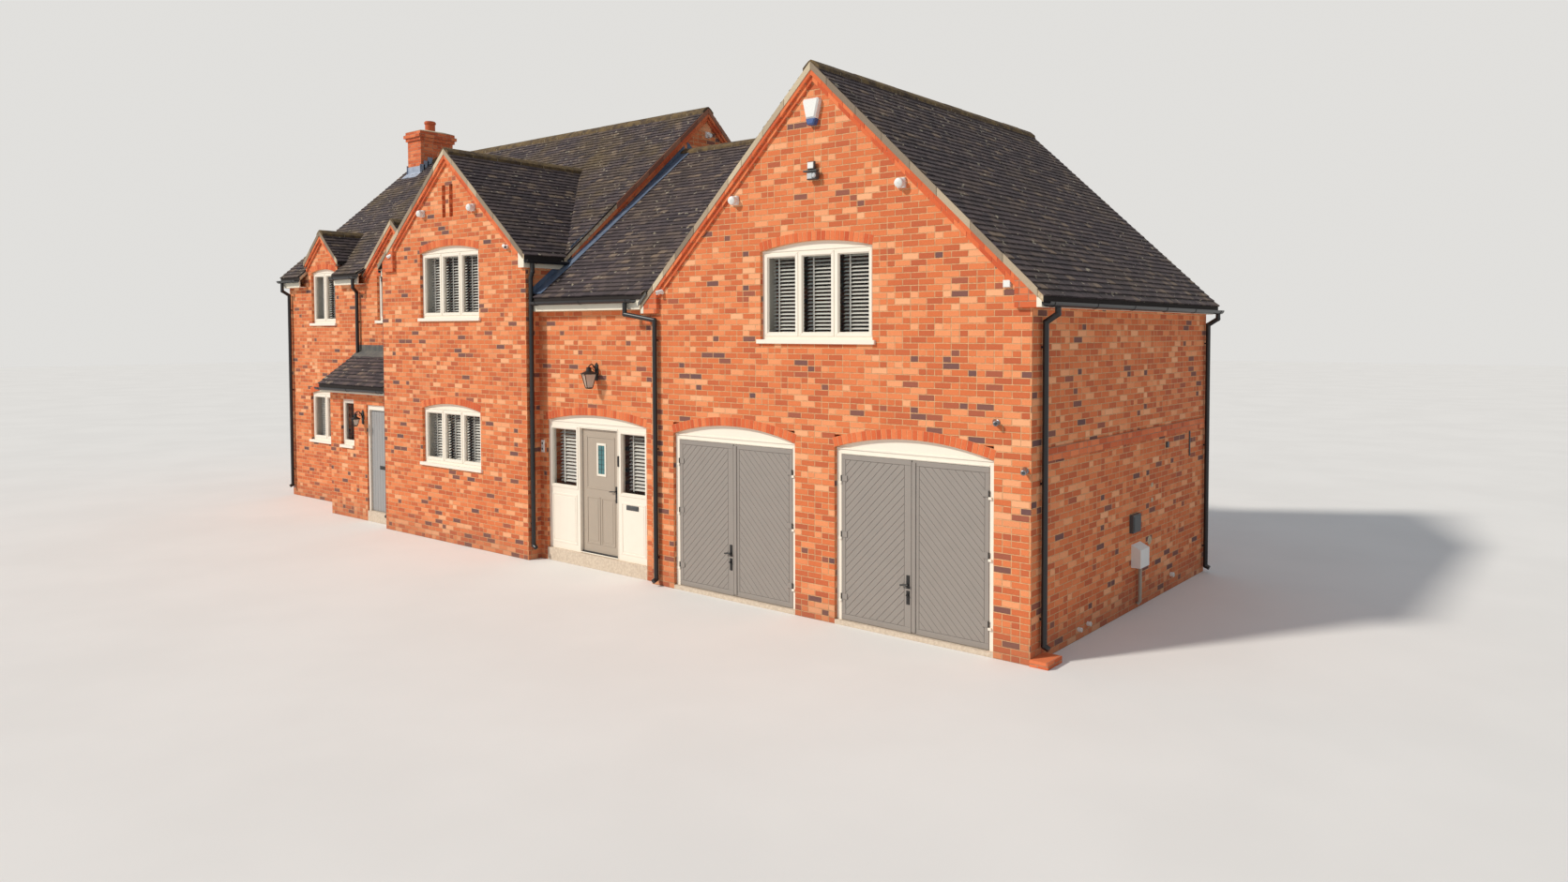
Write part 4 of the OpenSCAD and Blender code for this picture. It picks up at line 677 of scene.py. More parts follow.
def tiles(name, slopes, mat, seed):
    r = random.Random(seed)
    b = Build()
    for x0, y0, ulen, sense, roof, run, regions in slopes:
        slope = roof.slope
        if roof.across == "x":
            u, v, z0 = Vector((0, 1, 0)), Vector((sense, 0, slope)), z_on(roof, x0)
        else:
            u, v, z0 = Vector((1, 0, 0)), Vector((0, sense, slope)), z_on(roof, y0)
        v.normalize()
        p0 = Vector((x0, y0, z0))
        vlen = run * math.hypot(1, slope)
        n = u.cross(v).normalized()
        if n.z < 0:
            n = -n
        flip = u.cross(v).dot(n) < 0
        rows = int(vlen / GAUGE) + 1
        cols = int(ulen / TILE_W) + 3
        pts, faces, rnd = [], [], []
        for j in range(rows):
            t0 = j * GAUGE - (0.015 if j == 0 else 0.0)
            t1 = min(j * GAUGE + 0.128, vlen)
            off = -TILE_W + (TILE_W / 2 if j % 2 else 0.0)
            if t1 - t0 < 0.03:
                continue
            for i in range(cols):
                s0 = off + i * TILE_W + TILE_GAP + r.uniform(0, 0.001)
                s1 = off + (i + 1) * TILE_W - TILE_GAP
                if s1 < 0 or s0 > ulen:
                    continue
                tj = t0 + r.uniform(-0.0035, 0.0035)
                lift = r.uniform(-0.0015, 0.003)
                tilt = r.uniform(-0.0012, 0.0012)
                hb = 0.021 + lift
                he = 0.0195 - 0.118 * (t1 - t0)
                base = 0.0 if j == 0 else 0.0055
                k = len(pts)
                sm = (s0 + s1) / 2
                for s_, cam in ((s0, 0.0), (sm, 0.0025), (s1, 0.0)):
                    w = tilt if s_ == s0 else (-tilt if s_ == s1 else 0)
                    pts.append(p0 + u * s_ + v * tj + n * base)
                    pts.append(p0 + u * s_ + v * tj + n * (hb + cam + w))
                    pts.append(p0 + u * s_ + v * t1 + n * max(he + cam, 0.0015))
                q = [[k, k + 3, k + 4, k + 1], [k + 3, k + 6, k + 7, k + 4], [k + 1, k + 4, k + 5, k + 2],
                     [k + 4, k + 7, k + 8, k + 5], [k, k + 1, k + 2], [k + 6, k + 8, k + 7]]
                faces += [f[::-1] for f in q] if flip else q
                rnd += [r.random()] * TILE_POINTS
        for planes in regions:
            bm = bmesh.new()
            layers = bm.verts.layers.float
            layers.new("rnd")
            low = layers.new("run")
            lay = layers["rnd"]
            ok = [all((p - Vector(co)).dot(Vector(no)) < 0 for co, no in planes) for p in pts]
            vs = {}
            kept = {k // TILE_POINTS for k in range(0, len(pts), TILE_POINTS) if any(ok[k:k + TILE_POINTS])}
            for k in kept:
                for i in range(k * TILE_POINTS, (k + 1) * TILE_POINTS):
                    vs[i] = bm.verts.new(pts[i])
                    vs[i][lay] = rnd[i]
                    # run is 1 along the tail of a tile and 0 along its head; the tile stuff paints the shadow of the
                    # next course from it
                    vs[i][low] = 0.0 if i % 3 == 2 else 1.0
            for f in faces:
                if f[0] // TILE_POINTS in kept:
                    bm.faces.new([vs[i] for i in f])
            for co, no in planes:
                geom = bm.verts[:] + bm.edges[:] + bm.faces[:]
                bmesh.ops.bisect_plane(bm, geom=geom, plane_co=Vector(co), plane_no=Vector(no),
                                       clear_outer=True, dist=1e-6)
            bm.verts.index_update()
            lay, low = layers["rnd"], layers["run"]
            k = len(b.v)
            b.v += [tuple(q.co) for q in bm.verts]
            b.r += [q[lay] for q in bm.verts]
            b.e += [q[low] for q in bm.verts]
            b.f += [[k + q.index for q in f.verts] for f in bm.faces]
            b.m += [0] * len(bm.faces)
            bm.free()
    return b.done(name, [mat], slot="roof_tile", fix=False)


def above(roof, side):
    """A plane that keeps what lies over one slope of a roof, on the given side of its ridge."""
    if roof.across == "x":
        return ((roof.at, 0, roof.apex), (-side * roof.slope, 0, -1.0))
    return ((0, roof.at, roof.apex), (0, -side * roof.slope, -1.0))


def x_from(x):
    return ((x, 0, 0), (-1, 0, 0))


def y_from(y):
    return ((0, y, 0), (0, -1, 0))


def y_to(y):
    return ((0, y, 0), (0, 1, 0))


def xs(a, b, *more):
    """The planes that keep what lies from x = a to x = b, and more planes."""
    return [x_from(a), ((b, 0, 0), (1, 0, 0)), *more]


def ys(a, b, *more):
    return [y_from(a), y_to(b), *more]


y0, y1 = GARAGE_FRONT - VERGE_OUT, GARAGE_REAR + VERGE_OUT
valley = ((-3.19, 0, 0), (1, 0, 0))
tiles("garage_tiles", [
    (0.16, y0, y1 - y0, -1, GARAGE, 3.22, [ys(y0, y1)]),
    (-6.28, y0, y1 - y0, 1, GARAGE, 3.22,
     [ys(y0, 0.09), ys(0.09, LINK.at, valley, above(LINK, -1)), ys(LINK.at, y1, valley, above(LINK, 1)),
      [x_from(-3.19), *ys(0.09, y1)]]),
], m_tile, 11)
on_link = xs(HOUSE_RIGHT, -3.192, above(GARAGE, -1))
tiles("link_tiles", [
    (HOUSE_RIGHT, -0.07, 5.83, 1, LINK, 3.37, [on_link + [y_from(-0.03)], xs(-8.78, -6.2, y_to(-0.03))]),
    (HOUSE_RIGHT, 5.76, 5.83, -1, LINK, 2.46, [on_link]),
], m_tile, 12)
x0, x1 = HOUSE_LEFT - VERGE_OUT, HOUSE_RIGHT + VERGE_OUT
tiles("main_tiles", [
    (x0, 0.545, 10.14, 1, MAIN, 3.29,
     [xs(x0, -18.11), xs(-18.11, GABLET_1.at, above(GABLET_1, -1)), xs(GABLET_1.at, -16.59, above(GABLET_1, 1)),
      xs(-16.59, -15.58), xs(-15.58, GABLET_2.at, above(GABLET_2, -1)),
      xs(GABLET_2.at, -13.32, above(GABLET_2, 1)), xs(-13.32, BAY.at, above(BAY, -1)),
      xs(BAY.at, -8.83, above(BAY, 1)), xs(-8.83, x1)]),
    (x0, 7.125, 10.14, -1, MAIN, 3.29, [xs(x0, x1)]),
], m_tile_old, 13)
tiles("bay_tiles", [(x, -0.21, 3.0, sense, BAY, 2.245, [[y_from(-0.21), above(MAIN, -1)]])
                    for x, sense in ((-13.32, 1), (-8.83, -1))], m_tile, 14)
on_gablet = [y_from(0.645), above(MAIN, -1)]
gablets = []
for roof, half, more in ((GABLET_1, 0.76, []), (GABLET_2, 1.155, [above(BAY, -1)])):
    gablets.append((roof.at - half, 0.645, 1.4, 1, roof, half, [on_gablet]))
    gablets.append((roof.at + half, 0.645, 1.4, -1, roof, half, [on_gablet + more]))
tiles("gablet_tiles", gablets, m_tile, 15)
tiles("porch_tiles", [
    (-15.88, -0.11, 2.61, 1, PORCH, 0.815,
     [xs(-15.88, BAY_LEFT, y_from(-0.07)), xs(-15.88, -13.37, y_to(-0.07))]),
], m_tile, 16)


# Ridge tiles: rounded caps with mortar in the joints between them
RIDGE_L = 0.45


def ridge(b, roof, a, z):
    across, c, apex, slope = roof
    n = max(1, round((z - a) / RIDGE_L))
    length = (z - a) / n
    sec = [-0.13, -0.115, -0.08, -0.04, 0.0, 0.04, 0.08, 0.115, 0.13]
    m = 2 * len(sec)
    for k in range(n):
        j = rng.uniform(-0.003, 0.002)
        outline = [(d, apex + 0.040 + j - (math.sqrt(d * d + 0.0016) - 0.04) * slope * 1.02) for d in sec]
        outline += [(d, apex - slope * abs(d) + 0.004) for d in reversed(sec)]

        def put(lo, hi, drop, mat, rnd=0.0):
            pts = [(c + d, pos, h - drop) if across == "x" else (pos, c + d, h - drop)
                   for pos in (lo, hi) for d, h in outline]
            b.add(pts, loft(m, 2), mat, rnd)

        start = a + k * length + 0.003
        put(start, a + (k + 1) * length - 0.003, 0.0, 0, rng.random())
        if k:
            put(start + 0.003, start - 0.012, 0.006, 1)


b = Build()
ridge(b, GARAGE, -0.06, 5.66)
ridge(b, LINK, -8.88, -3.2)
ridge(b, MAIN, -18.11, -8.82)
ridge(b, MAIN, -18.96, -18.71)
ridge(b, BAY, -0.21, 2.66)
ridge(b, GABLET_1, 0.645, 1.60)
ridge(b, GABLET_2, 0.645, 1.66)
b.done("ridge_caps", [m_ridge, m_mortar], slot="ridge_tile", replaces=["ridge_tiles"], smooth=50)


# Windows: casements, plaster reveals and slatted blinds behind the glass
MULLION = 0.06
FRAME_D = -0.05
REVEAL = (-0.296, -0.122)


def slats(b, place, u0, u1, bottom, top, pitch, half, front, back):
    """Slats from the top down, each tilted by half its height between two depths, the front edge lower."""
    z = top
    while z > bottom:
        pts = [place(u0, z - half, front), place(u1, z - half, front), place(u1, z + half, back),
               place(u0, z + half, back)]
        pts += [(x, y, zz - 0.002) for x, y, zz in pts]
        b.add(pts, loft(4, 2))
        z -= pitch


def cords(b, place, u0, u1, places, half, bottom, top, front):
    for f in places:
        u = u0 + (u1 - u0) * f
        b.rect(u - half, u + half, bottom, top, front - 0.002, front, place)


cas, rev, bl = Build(), Build(), Build()
for ax, at, out, c, w, z0, spring, rise, n in WINDOWS + [PORCH_WIN]:
    place = wall(ax, at, out)
    lw = (w - MULLION * (n + 1)) / n
    v0, v1 = z0 + 0.115, spring - 0.05
    for i in range(n):
        u0 = c - w / 2 + MULLION + i * (lw + MULLION)
        u1 = u0 + lw
        cas.ring(u0 - 0.02, u1 + 0.02, v0 - 0.02, v1 + 0.02, 0.045, FRAME_D - 0.02, FRAME_D + 0.009, place, 0, 0.004)
        cas.ring(u0 + 0.024, u1 - 0.024, v0 + 0.024, v1 - 0.024, 0.012, FRAME_D - 0.0245, FRAME_D - 0.004, place,
                 0, 0.003)
        if rise:
            u0, u1 = u0 + 0.01, u1 - 0.01
            slats(bl, place, u0, u1, v0 + 0.03, v1 - 0.04, 0.048, 0.012, -0.180, -0.222)
            bl.rect(u0, u1, v1 - 0.03, v1 + 0.02, -0.24, -0.18, place, 0, 0.003)
            bl.rect(u0, u1, v0, v0 + 0.02, -0.225, -0.185, place, 0, 0.003)
            cords(bl, place, u0, u1, (0.2, 0.8), 0.011, v0 + 0.01, v1, -0.180)
    a0, a1 = c - w / 2, c + w / 2
    if rise:
        rev.rect(a0 + 0.0005, a0 + 0.012, z0 + 0.0005, spring, *REVEAL, place)
        rev.rect(a1 - 0.012, a1 - 0.0005, z0 + 0.0005, spring, *REVEAL, place)
        rev.rect(a0 + 0.012, a1 - 0.012, z0 + 0.0005, z0 + 0.03, *REVEAL, place, 1)
        # a thin bead under the arched head board
        cas.rect(a0 + 0.004, a1 - 0.004, spring - 0.012, spring + 0.012, FRAME_D - 0.01, FRAME_D + 0.012, place,
                 0, 0.004)
    # nosing drip under the sill
    horn = 0.044 if rise else 0
    cas.rect(a0 - horn, a1 + horn, z0 + 0.004, z0 + 0.014, 0.0355, 0.0385, place, 0, 0.001)
cas.done("window_casements", [m_cream], slot="cream_paint")
rev.done("window_reveals", [m_plaster, m_cream], slot="cream_paint")


# The entrance screen: beads round the side lights, panels under them, blinds behind them
es = wall("x", 0.14, -1)
b = Build()
for u0, u1 in ((-8.65, -7.995), (-6.972, -6.39)):
    b.ring(u0 - 0.018, u1 + 0.018, 1.182, 2.163, 0.04, -0.02, 0.010, es, 0, 0.004)
    b.ring(u0 + 0.02, u1 - 0.02, 1.22, 2.125, 0.012, -0.034, -0.006, es, 0, 0.003)
    b.ring(u0 + 0.015, u1 - 0.015, 0.30, 1.09, 0.03, 0.0, 0.007, es, 0, 0.003)
    b.rect(u0 + 0.055, u1 - 0.055, 0.34, 1.05, 0.0, 0.005, es, 0, 0.004)
    slats(bl, es, u0 + 0.03, u1 - 0.03, 1.26, 2.10, 0.055, 0.014, -0.145, -0.188)
    cords(bl, es, u0, u1, (0.22, 0.78), 0.012, 1.24, 2.14, -0.145)
b.rect(-8.70, -6.34, 2.232, 2.262, -0.01, 0.012, es, 0, 0.004)
b.ring(-7.945, -7.022, 0.205, 2.185, 0.016, 0.0, 0.008, es, 0, 0.003)
b.done("entrance_joinery", [m_cream], slot="cream_paint")
bl.done("window_blinds", [m_slat], slot="white_plastic")

# Beads on the garage door frames
b = Build()
gf = wall("x", 0.05, -1)
for c in DOORWAYS:
    b.rect(c - 1.13, c + 1.13, 2.195, 2.222, -0.01, 0.014, gf, 0, 0.005)
    b.rect(c - 1.06, c + 1.06, 2.142, 2.156, -0.01, 0.008, gf, 0, 0.003)
    for s in (-1, 1):
        b.rect(c + s * 1.128, c + s * 1.108, 0.06, 2.19, -0.01, 0.006, gf, 0, 0.003)
b.done("garage_frame_beads", [m_cream], slot="cream_paint")


# Garage leaves: a frame with boards laid in chevrons, 74.5 mm from one to the next
LEAVES = [(-5.575, 1), (-3.465, -1), (-2.655, 1), (-0.545, -1)]
LEAF_W, LEAF_Z0, LEAF_Z1 = 1.05, 0.06, 2.13
BOARD_W, BOARD_STEP = 0.0715, 0.0745
FRONT_T = 0.0065
at = wall("x", 0.052, -1)
for i, (hx, s) in enumerate(LEAVES):
    u0, u1 = (hx, hx + LEAF_W) if s > 0 else (hx - LEAF_W, hx)
    z0, z1 = LEAF_Z0, LEAF_Z1
    b = Build()
    wl, wr = (0.06, 0.10) if s > 0 else (0.10, 0.06)
    for q in ((u0 + 0.001, u1 - 0.001, z1 - 0.06, z1 - 0.001), (u0 + 0.001, u1 - 0.001, z0 + 0.001, z0 + 0.07),
              (u0 + 0.001, u0 + wl, z0 + 0.071, z1 - 0.061), (u1 - wr, u1 - 0.001, z0 + 0.071, z1 - 0.061)):
        b.rect(*q, -0.004, FRONT_T, at, 0, 0.003)
    # the panel behind the boards shows only in the gaps between them; its darker grey is painted shade
    b.rect(u0 + 0.03, u1 - 0.03, z0 + 0.03, z1 - 0.03, -0.004, 0.0008, at, 2)
    a0, a1, b0, b1 = u0 + wl + 0.003, u1 - wr - 0.003, z0 + 0.074, z1 - 0.064
    k = 1 / math.sqrt(2)
    nx, ny = (-k, k) if i % 2 == 0 else (k, k)
    corners = [nx * u + ny * v for u in (a0, a1) for v in (b0, b1)]
    t = min(corners)
    while t < max(corners):
        poly = clip(quad(a0, a1, b0, b1), nx, ny, t + BOARD_W)
        poly = clip(poly, -nx, -ny, -t) if len(poly) > 2 else poly
        if len(poly) > 2 and abs(double_area(poly)) / 2 > 0.0012:
            b.prism(poly, -0.004, FRONT_T - 0.0015, at, 0, 0.0025, rng.random())
        t += BOARD_STEP
    if s > 0:
        hu = u1 - 0.045
        b.rect(hu - 0.024, hu + 0.024, 0.595, 0.755, FRONT_T, FRONT_T + 0.007, at, 1, 0.003)
        b.turn([(0.013, 0), (0.013, 0.034)], at(hu, 0.640, FRONT_T + 0.005), 12, 1, (0, -1, 0))
        lever = [at(hu + du, z, FRONT_T + d) for du, z, d in ((0.02, 0.642, 0.036), (-0.04, 0.640, 0.038),
                                                              (-0.095, 0.632, 0.036))]
        b.tube(lever, [0.013, 0.012, 0.009], 8, 1)
        b.rect(hu - 0.022, hu + 0.022, 0.405, 0.570, FRONT_T, FRONT_T + 0.012, at, 1, 0.005)
        b.turn([(0.018, 0), (0.015, 0.024)], at(hu, 0.52, FRONT_T + 0.006), 12, 1, (0, -1, 0))
    else:
        b.rect(u0 + 0.001, u0 + 0.056, z0 + 0.02, z1 - 0.02, FRONT_T, FRONT_T + 0.012, at, 0, 0.004)
    b.done("garage_boards_%d" % (i + 1), [m_leaf, m_iron, m_groove_shade], "garage_leaf_%d_body" % (i + 1), "garage_grey")

# Front door: mouldings, leaded light, lever, weather bar
at = wall("x", 0.184, -1)
b = Build()
u0, u1 = -7.92, -7.05
b.ring(u0 + 0.10, u1 - 0.10, 1.22, 2.04, 0.022, -0.003, 0.007, at, 0, 0.003)
for a0, a1 in ((u0 + 0.10, u0 + 0.42), (u1 - 0.42, u1 - 0.10)):
    b.ring(a0, a1, 0.36, 1.10, 0.022, -0.003, 0.007, at, 0, 0.003)
    b.rect(a0 + 0.05, a1 - 0.05, 0.41, 1.05, -0.003, 0.005, at, 0, 0.004)
lu0, lu1, lz0, lz1 = -7.57, -7.35, 1.43, 1.94
b.ring(lu0, lu1, lz0, lz1, 0.035, -0.003, 0.012, at, 1, 0.004)
b.rect(lu0 + 0.03, lu1 - 0.03, lz0 + 0.03, lz1 - 0.03, -0.003, 0.004, at, 2, 0.001)
for k in range(1, 6):
    z = lz0 + 0.035 + (lz1 - lz0 - 0.07) * k / 6
    b.rect(lu0 + 0.034, lu1 - 0.034, z - 0.003, z + 0.003, 0.004, 0.006, at, 3)
b.rect((lu0 + lu1) / 2 - 0.003, (lu0 + lu1) / 2 + 0.003, lz0 + 0.034, lz1 - 0.034, 0.004, 0.0062, at, 3)
b.rect(u1 - 0.085, u1 - 0.045, 1.05, 1.30, 0.0, 0.009, at, 3, 0.003)
b.turn([(0.011, 0), (0.011, 0.036)], at(u1 - 0.065, 1.225, 0.005), 12, 3, (0, -1, 0))
b.tube([at(u1 - 0.055, 1.226, 0.038), at(u1 - 0.13, 1.222, 0.040), at(u1 - 0.195, 1.214, 0.037)],
       [0.010, 0.009, 0.007], 8, 3)
b.rect(u0 + 0.004, u1 - 0.004, 0.206, 0.235, -0.003, 0.022, at, 3, 0.008)
b.done("front_door_details", [m_taupe, m_cream, m_leaded, m_iron], "front_door_body", "door_grey")

# Porch door: upright boards, letter plate, lever
at = wall("x", 0.124, -1)
b = Build()
u0, u1 = -14.265, -13.393
n = 9
for k in range(n):
    a0 = u0 + 0.012 + (u1 - u0 - 0.024) * k / n
    a1 = u0 + 0.012 + (u1 - u0 - 0.024) * (k + 1) / n
    b.rect(a0 + 0.0015, a1 - 0.0015, 0.215, 2.14, -0.003, 0.006, at, 0, 0.0035)
b.rect(-13.97, -13.69, 1.02, 1.09, 0.006, 0.014, at, 1, 0.004)
b.rect(-13.94, -13.72, 1.035, 1.075, 0.014, 0.018, at, 1, 0.003)
b.rect(u1 - 0.085, u1 - 0.045, 1.15, 1.36, 0.006, 0.013, at, 1, 0.003)
b.tube([at(u1 - 0.06, 1.29, 0.012), at(u1 - 0.065, 1.29, 0.045), at(u1 - 0.12, 1.288, 0.048),
        at(u1 - 0.18, 1.282, 0.045)], [0.010, 0.010, 0.009, 0.007], 8, 1)
b.done("porch_door_boards", [m_porch, m_iron], "porch_door_body", "door_grey")


# Wall lanterns: four-sided glazed bodies, wide at the top, on scrolled brackets
def lantern(b, x, y, z, r, h):
    cx, cy = x, y - 0.15
    top = z + h

    def square(rr, zz):
        turns = [math.pi * (0.5 * k + 0.14) for k in range(4)]
        return [(cx + rr * math.cos(t), cy + rr * math.sin(t), zz) for t in turns]

    lo, hi = square(0.46 * r, z + 0.012), square(r, top)
    for k in range(4):
        j = (k + 1) % 4
        b.tube([lo[k], hi[k]], 0.006, 6, 0)
        b.tube([lo[k], lo[j]], 0.006, 6, 0)
        b.tube([hi[k], hi[j]], 0.008, 6, 0)
    b.add(square(0.43 * r, z + 0.014) + square(0.96 * r, top - 0.002), loft(4, 2), 1)
    b.turn([(0.012, 0), (0.014, 0.05), (0.010, 0.10), (0.003, 0.12)], (cx, cy, z + 0.02), 10, 2)
    b.turn([(0.42 * r, 0), (0.24 * r, 0.012), (0.018, 0.014)], (cx, cy, z), 8, 0)
    cap = [(1.0, 0.0), (1.02, 0.006), (0.62, 0.028), (0.34, 0.045), (0.30, 0.085), (0.34, 0.092), (0.10, 0.105)]
    b.turn([(q * r, h_) for q, h_ in cap], (cx, cy, top), 12, 0)
    # the arm, the curl under it and the plate on the wall
    zt = top + 0.13
    arm = [(x, cy + 0.14 * t, zt - 0.02 + 0.05 * math.sin(math.pi * t) - 0.10 * t ** 2)
           for t in [k / 12 for k in range(13)]]
    b.tube([(x, cy, top + 0.095)] + arm, 0.009, 8, 0)
    curl = []
    for k in range(17):
        a = math.pi * 1.5 * k / 16
        rr = 0.036 * (1 - 0.5 * k / 16)
        curl.append((x, y - 0.05 - rr * math.sin(a), zt - 0.045 - rr * math.cos(a)))
    b.tube(curl, 0.0065, 8, 0)
    plate = [(-0.024, -0.24), (0.024, -0.24), (0.042, -0.12), (0.036, 0), (0, 0.04), (-0.036, 0), (-0.042, -0.12)]
    b.prism([(x + u, zt + v) for u, v in plate], 0.0, 0.016, wall("x", y, -1), 0, 0.005)


b = Build()
lantern(b, -7.44, 0.09, 2.795, 0.125, 0.225)
lantern(b, -14.45, 0.05, 1.84, 0.088, 0.14)
b.done("lanterns", [m_iron, m_lamp_glass, m_lens], slot="black_metal", replaces=["wall_lanterns"], smooth=35)


# Fittings on the walls
def sensor(b, x, y, z):
    f = wall("x", y, -1)
    b.rect(x - 0.055, x + 0.055, z + 0.005, z + 0.125, 0.0, 0.045, f, 0, 0.012)
    b.turn([(0.036, 0), (0.058, 0.02), (0.060, 0.05), (0.052, 0.075), (0.026, 0.088)], f(x, z + 0.066, 0.030), 16, 0,
           (0.15, -1, -0.12))
    b.turn([(0.018, 0), (0.013, 0.006)], f(x + 0.012, z + 0.045, 0.108), 12, 1, (0.1, -1, -0.25))


def camera(b, x, y, z, aim, shell=0):
    """A small bullet camera on a round base."""
    f = wall("x", y, -1)
    b.turn([(0.034, 0), (0.032, 0.010), (0.014, 0.016), (0.012, 0.05)], f(x, z, 0.0), 14, shell, (0, -1, 0))
    a = Vector(aim).normalized()
    c = Vector(f(x, z, 0.050)) - a * 0.05
    b.turn([(0.022, 0), (0.030, 0.006), (0.031, 0.10), (0.026, 0.104), (0.024, 0.100)], c, 16, shell, a)
    b.turn([(0.020, 0.098), (0.017, 0.102)], c, 14, 1, a)


b = Build()
g = wall("x", GARAGE_FRONT, -1)
c = GARAGE.at
# alarm: a tapered shield with a blue foot
b.prism([(c - 0.075, 6.31), (c + 0.075, 6.31), (c + 0.13, 6.53), (c + 0.115, 6.56), (c - 0.115, 6.56),
         (c - 0.13, 6.53)], 0.0, 0.077, g, 0, 0.02)
b.prism([(c - 0.045, 6.232), (c + 0.045, 6.232), (c + 0.066, 6.262), (c + 0.076, 6.309), (c - 0.076, 6.309),
         (c - 0.066, 6.262)], 0.0, 0.078, g, 2, 0.016)
# flood light: a bracket with two tilted heads
b.turn([(0.045, 0), (0.045, 0.012), (0.016, 0.020), (0.016, 0.05)], g(c, 5.66, 0.0), 16, 1, (0, -1, 0))
b.rect(c - 0.109, c + 0.109, 5.650, 5.670, 0.03, 0.085, g, 1, 0.003)
b.rect(c - 0.060, c + 0.055, 5.680, 5.780, 0.030, 0.062, g, 1, 0.008)
b.rect(c - 0.050, c + 0.045, 5.690, 5.770, 0.062, 0.070, g, 0, 0.004)
b.rect(c - 0.045, c + 0.108, 5.550, 5.640, 0.030, 0.090, g, 1, 0.008)
b.rect(c - 0.035, c + 0.045, 5.560, 5.630, 0.090, 0.097, g, 3, 0.004)
b.turn([(0.030, 0), (0.030, 0.012), (0.018, 0.022)], g(c + 0.078, 5.596, 0.088), 14, 3, (0, -1, 0))
for x in (-4.41, -1.71):
    sensor(b, x, 0.0, 5.335)
for x in (-11.845, -10.305):
    sensor(b, x, -0.15, 5.66)
# meter cover with its sloped top, and the fuse box beside it
mt = wall("y", 0.0, 1)
y0, y1, z0, z1 = 2.79, 3.09, 0.57, 0.87
side = [(0, z0), (0.128, z0), (0.128, z1 - 0.06), (0, z1)]
b.add([(x, y, z) for y in (y0, y1) for x, z in side], loft(4, 2), 0)
b.ring(y0 + 0.012, y1 - 0.012, z0 + 0.012, z1 - 0.075, 0.012, 0.127, 0.1298, mt, 0, 0.001)
b.rect(2.722, 2.978, 1.032, 1.268, 0.0, 0.058, mt, 1, 0.006)
b.rect(2.742, 2.958, 1.052, 1.248, 0.058, 0.064, mt, 1, 0.003)
b.done("wall_fittings", [m_white, m_dark, m_blue, m_lens, m_pipe], slot="white_plastic",
       replaces=["wall_boxes"], smooth=40)

b = Build()
camera(b, -5.86, 0.0, 4.22, (-0.5, -1, -0.35))
camera(b, -12.90, -0.15, 5.03, (-0.9, -0.35, -0.35))
camera(b, -9.36, -0.15, 5.03, (0.95, -0.3, -0.35))
camera(b, -0.42, 0.0, 2.65, (0.7, -1, -0.2), 2)
camera(b, -0.06, 0.0, 2.14, (0.3, -1, -0.3), 2)
b.rect(-0.345, -0.255, 4.14, 4.22, 0.0, 0.035, g, 0, 0.006)
r = wall("y", HOUSE_RIGHT, 1)
b.rect(3.80, 3.90, 7.31, 7.42, 0.0, 0.05, r, 0, 0.012)
b.turn([(0.030, 0), (0.048, 0.018), (0.036, 0.06)], r(3.85, 7.36, 0.045), 14, 0, (1, 0, -0.2))
# duct under the meter, stubs, a patch and the small vents of the garage side
b.tube([mt(2.97, 0.572, 0.05), mt(2.97, 0.30, 0.05), mt(2.97, 0.10, 0.05), mt(2.97, 0.06, 0.02)], 0.024, 12, 3)
for y, z, q in ((4.222, 0.211, 0.032), (1.201, 0.126, 0.026), (1.457, 0.138, 0.026)):
    b.turn([(q, 0), (q, 0.05), (q * 0.8, 0.052), (q * 0.8, 0.02)], mt(y, z, 0.0), 16, 0, (1, 0, 0))
b.turn([(0.062, 0), (0.058, 0.007), (0.020, 0.008)], mt(3.409, 0.832, 0.0), 20, 4, (1, 0, 0))
b.rect(3.98, 4.05, 2.04, 2.12, 0.0, 0.03, mt, 1, 0.005)
b.rect(4.905, 4.935, 1.835, 2.205, 0.0, 0.016, mt, 1, 0.003)
for y, z in ((3.485, 1.577), (3.491, 1.371)):
    b.rect(y - 0.035, y + 0.035, z - 0.028, z + 0.028, 0.0, 0.005, mt, 4, 0.002)
b.done("small_fittings", [m_white, m_dark, m_steel, m_pipe, m_mortar], slot="white_plastic", smooth=40)


# Leadwork: the flashing of the link roof, of the porch roof, of the gablets and the chimney
def strip(b, pts, w, t, mat=0):
    """A strip of sheet along a line of points; w is its width vector and t its thickness vector."""
    w, t = Vector(w), Vector(t)
    vs = []
    for p in pts:
        p = Vector(p)
        vs += [p, p + w, p + w + t, p + t]
    b.add(vs, loft(4, len(pts)), mat)


SHEET = 0.004
b = Build()
for places in ([-0.03 + 0.15 * k for k in range(23)], [5.74 - 0.15 * k for k in range(17)]):
    run = [y for y in places if abs(y - LINK.at) > 0.02]
    strip(b, [(-8.876, y, z_on(LINK, y) + 0.03 + 0.003 * math.sin(9 * y)) for y in run], (0.23, 0, 0), (0, 0, SHEET))
    # the upstand is low behind the bay's gutter
    for part, h in (([y for y in run if y < 0.78], 0.11), ([y for y in run if y > 0.70], 0.20)):
        if part:
            strip(b, [(-8.879, y, z_on(LINK, y) + 0.02) for y in part], (0, 0, h), (SHEET, 0, 0))
    # laps of the sheets
    for y in run[::4]:
        y2 = y + (0.03 if y < LINK.at else -0.03)
        strip(b, [(-8.876, v, z_on(LINK, v) + 0.036) for v in (y, y2)], (0.235, 0, 0), (0, 0, SHEET))
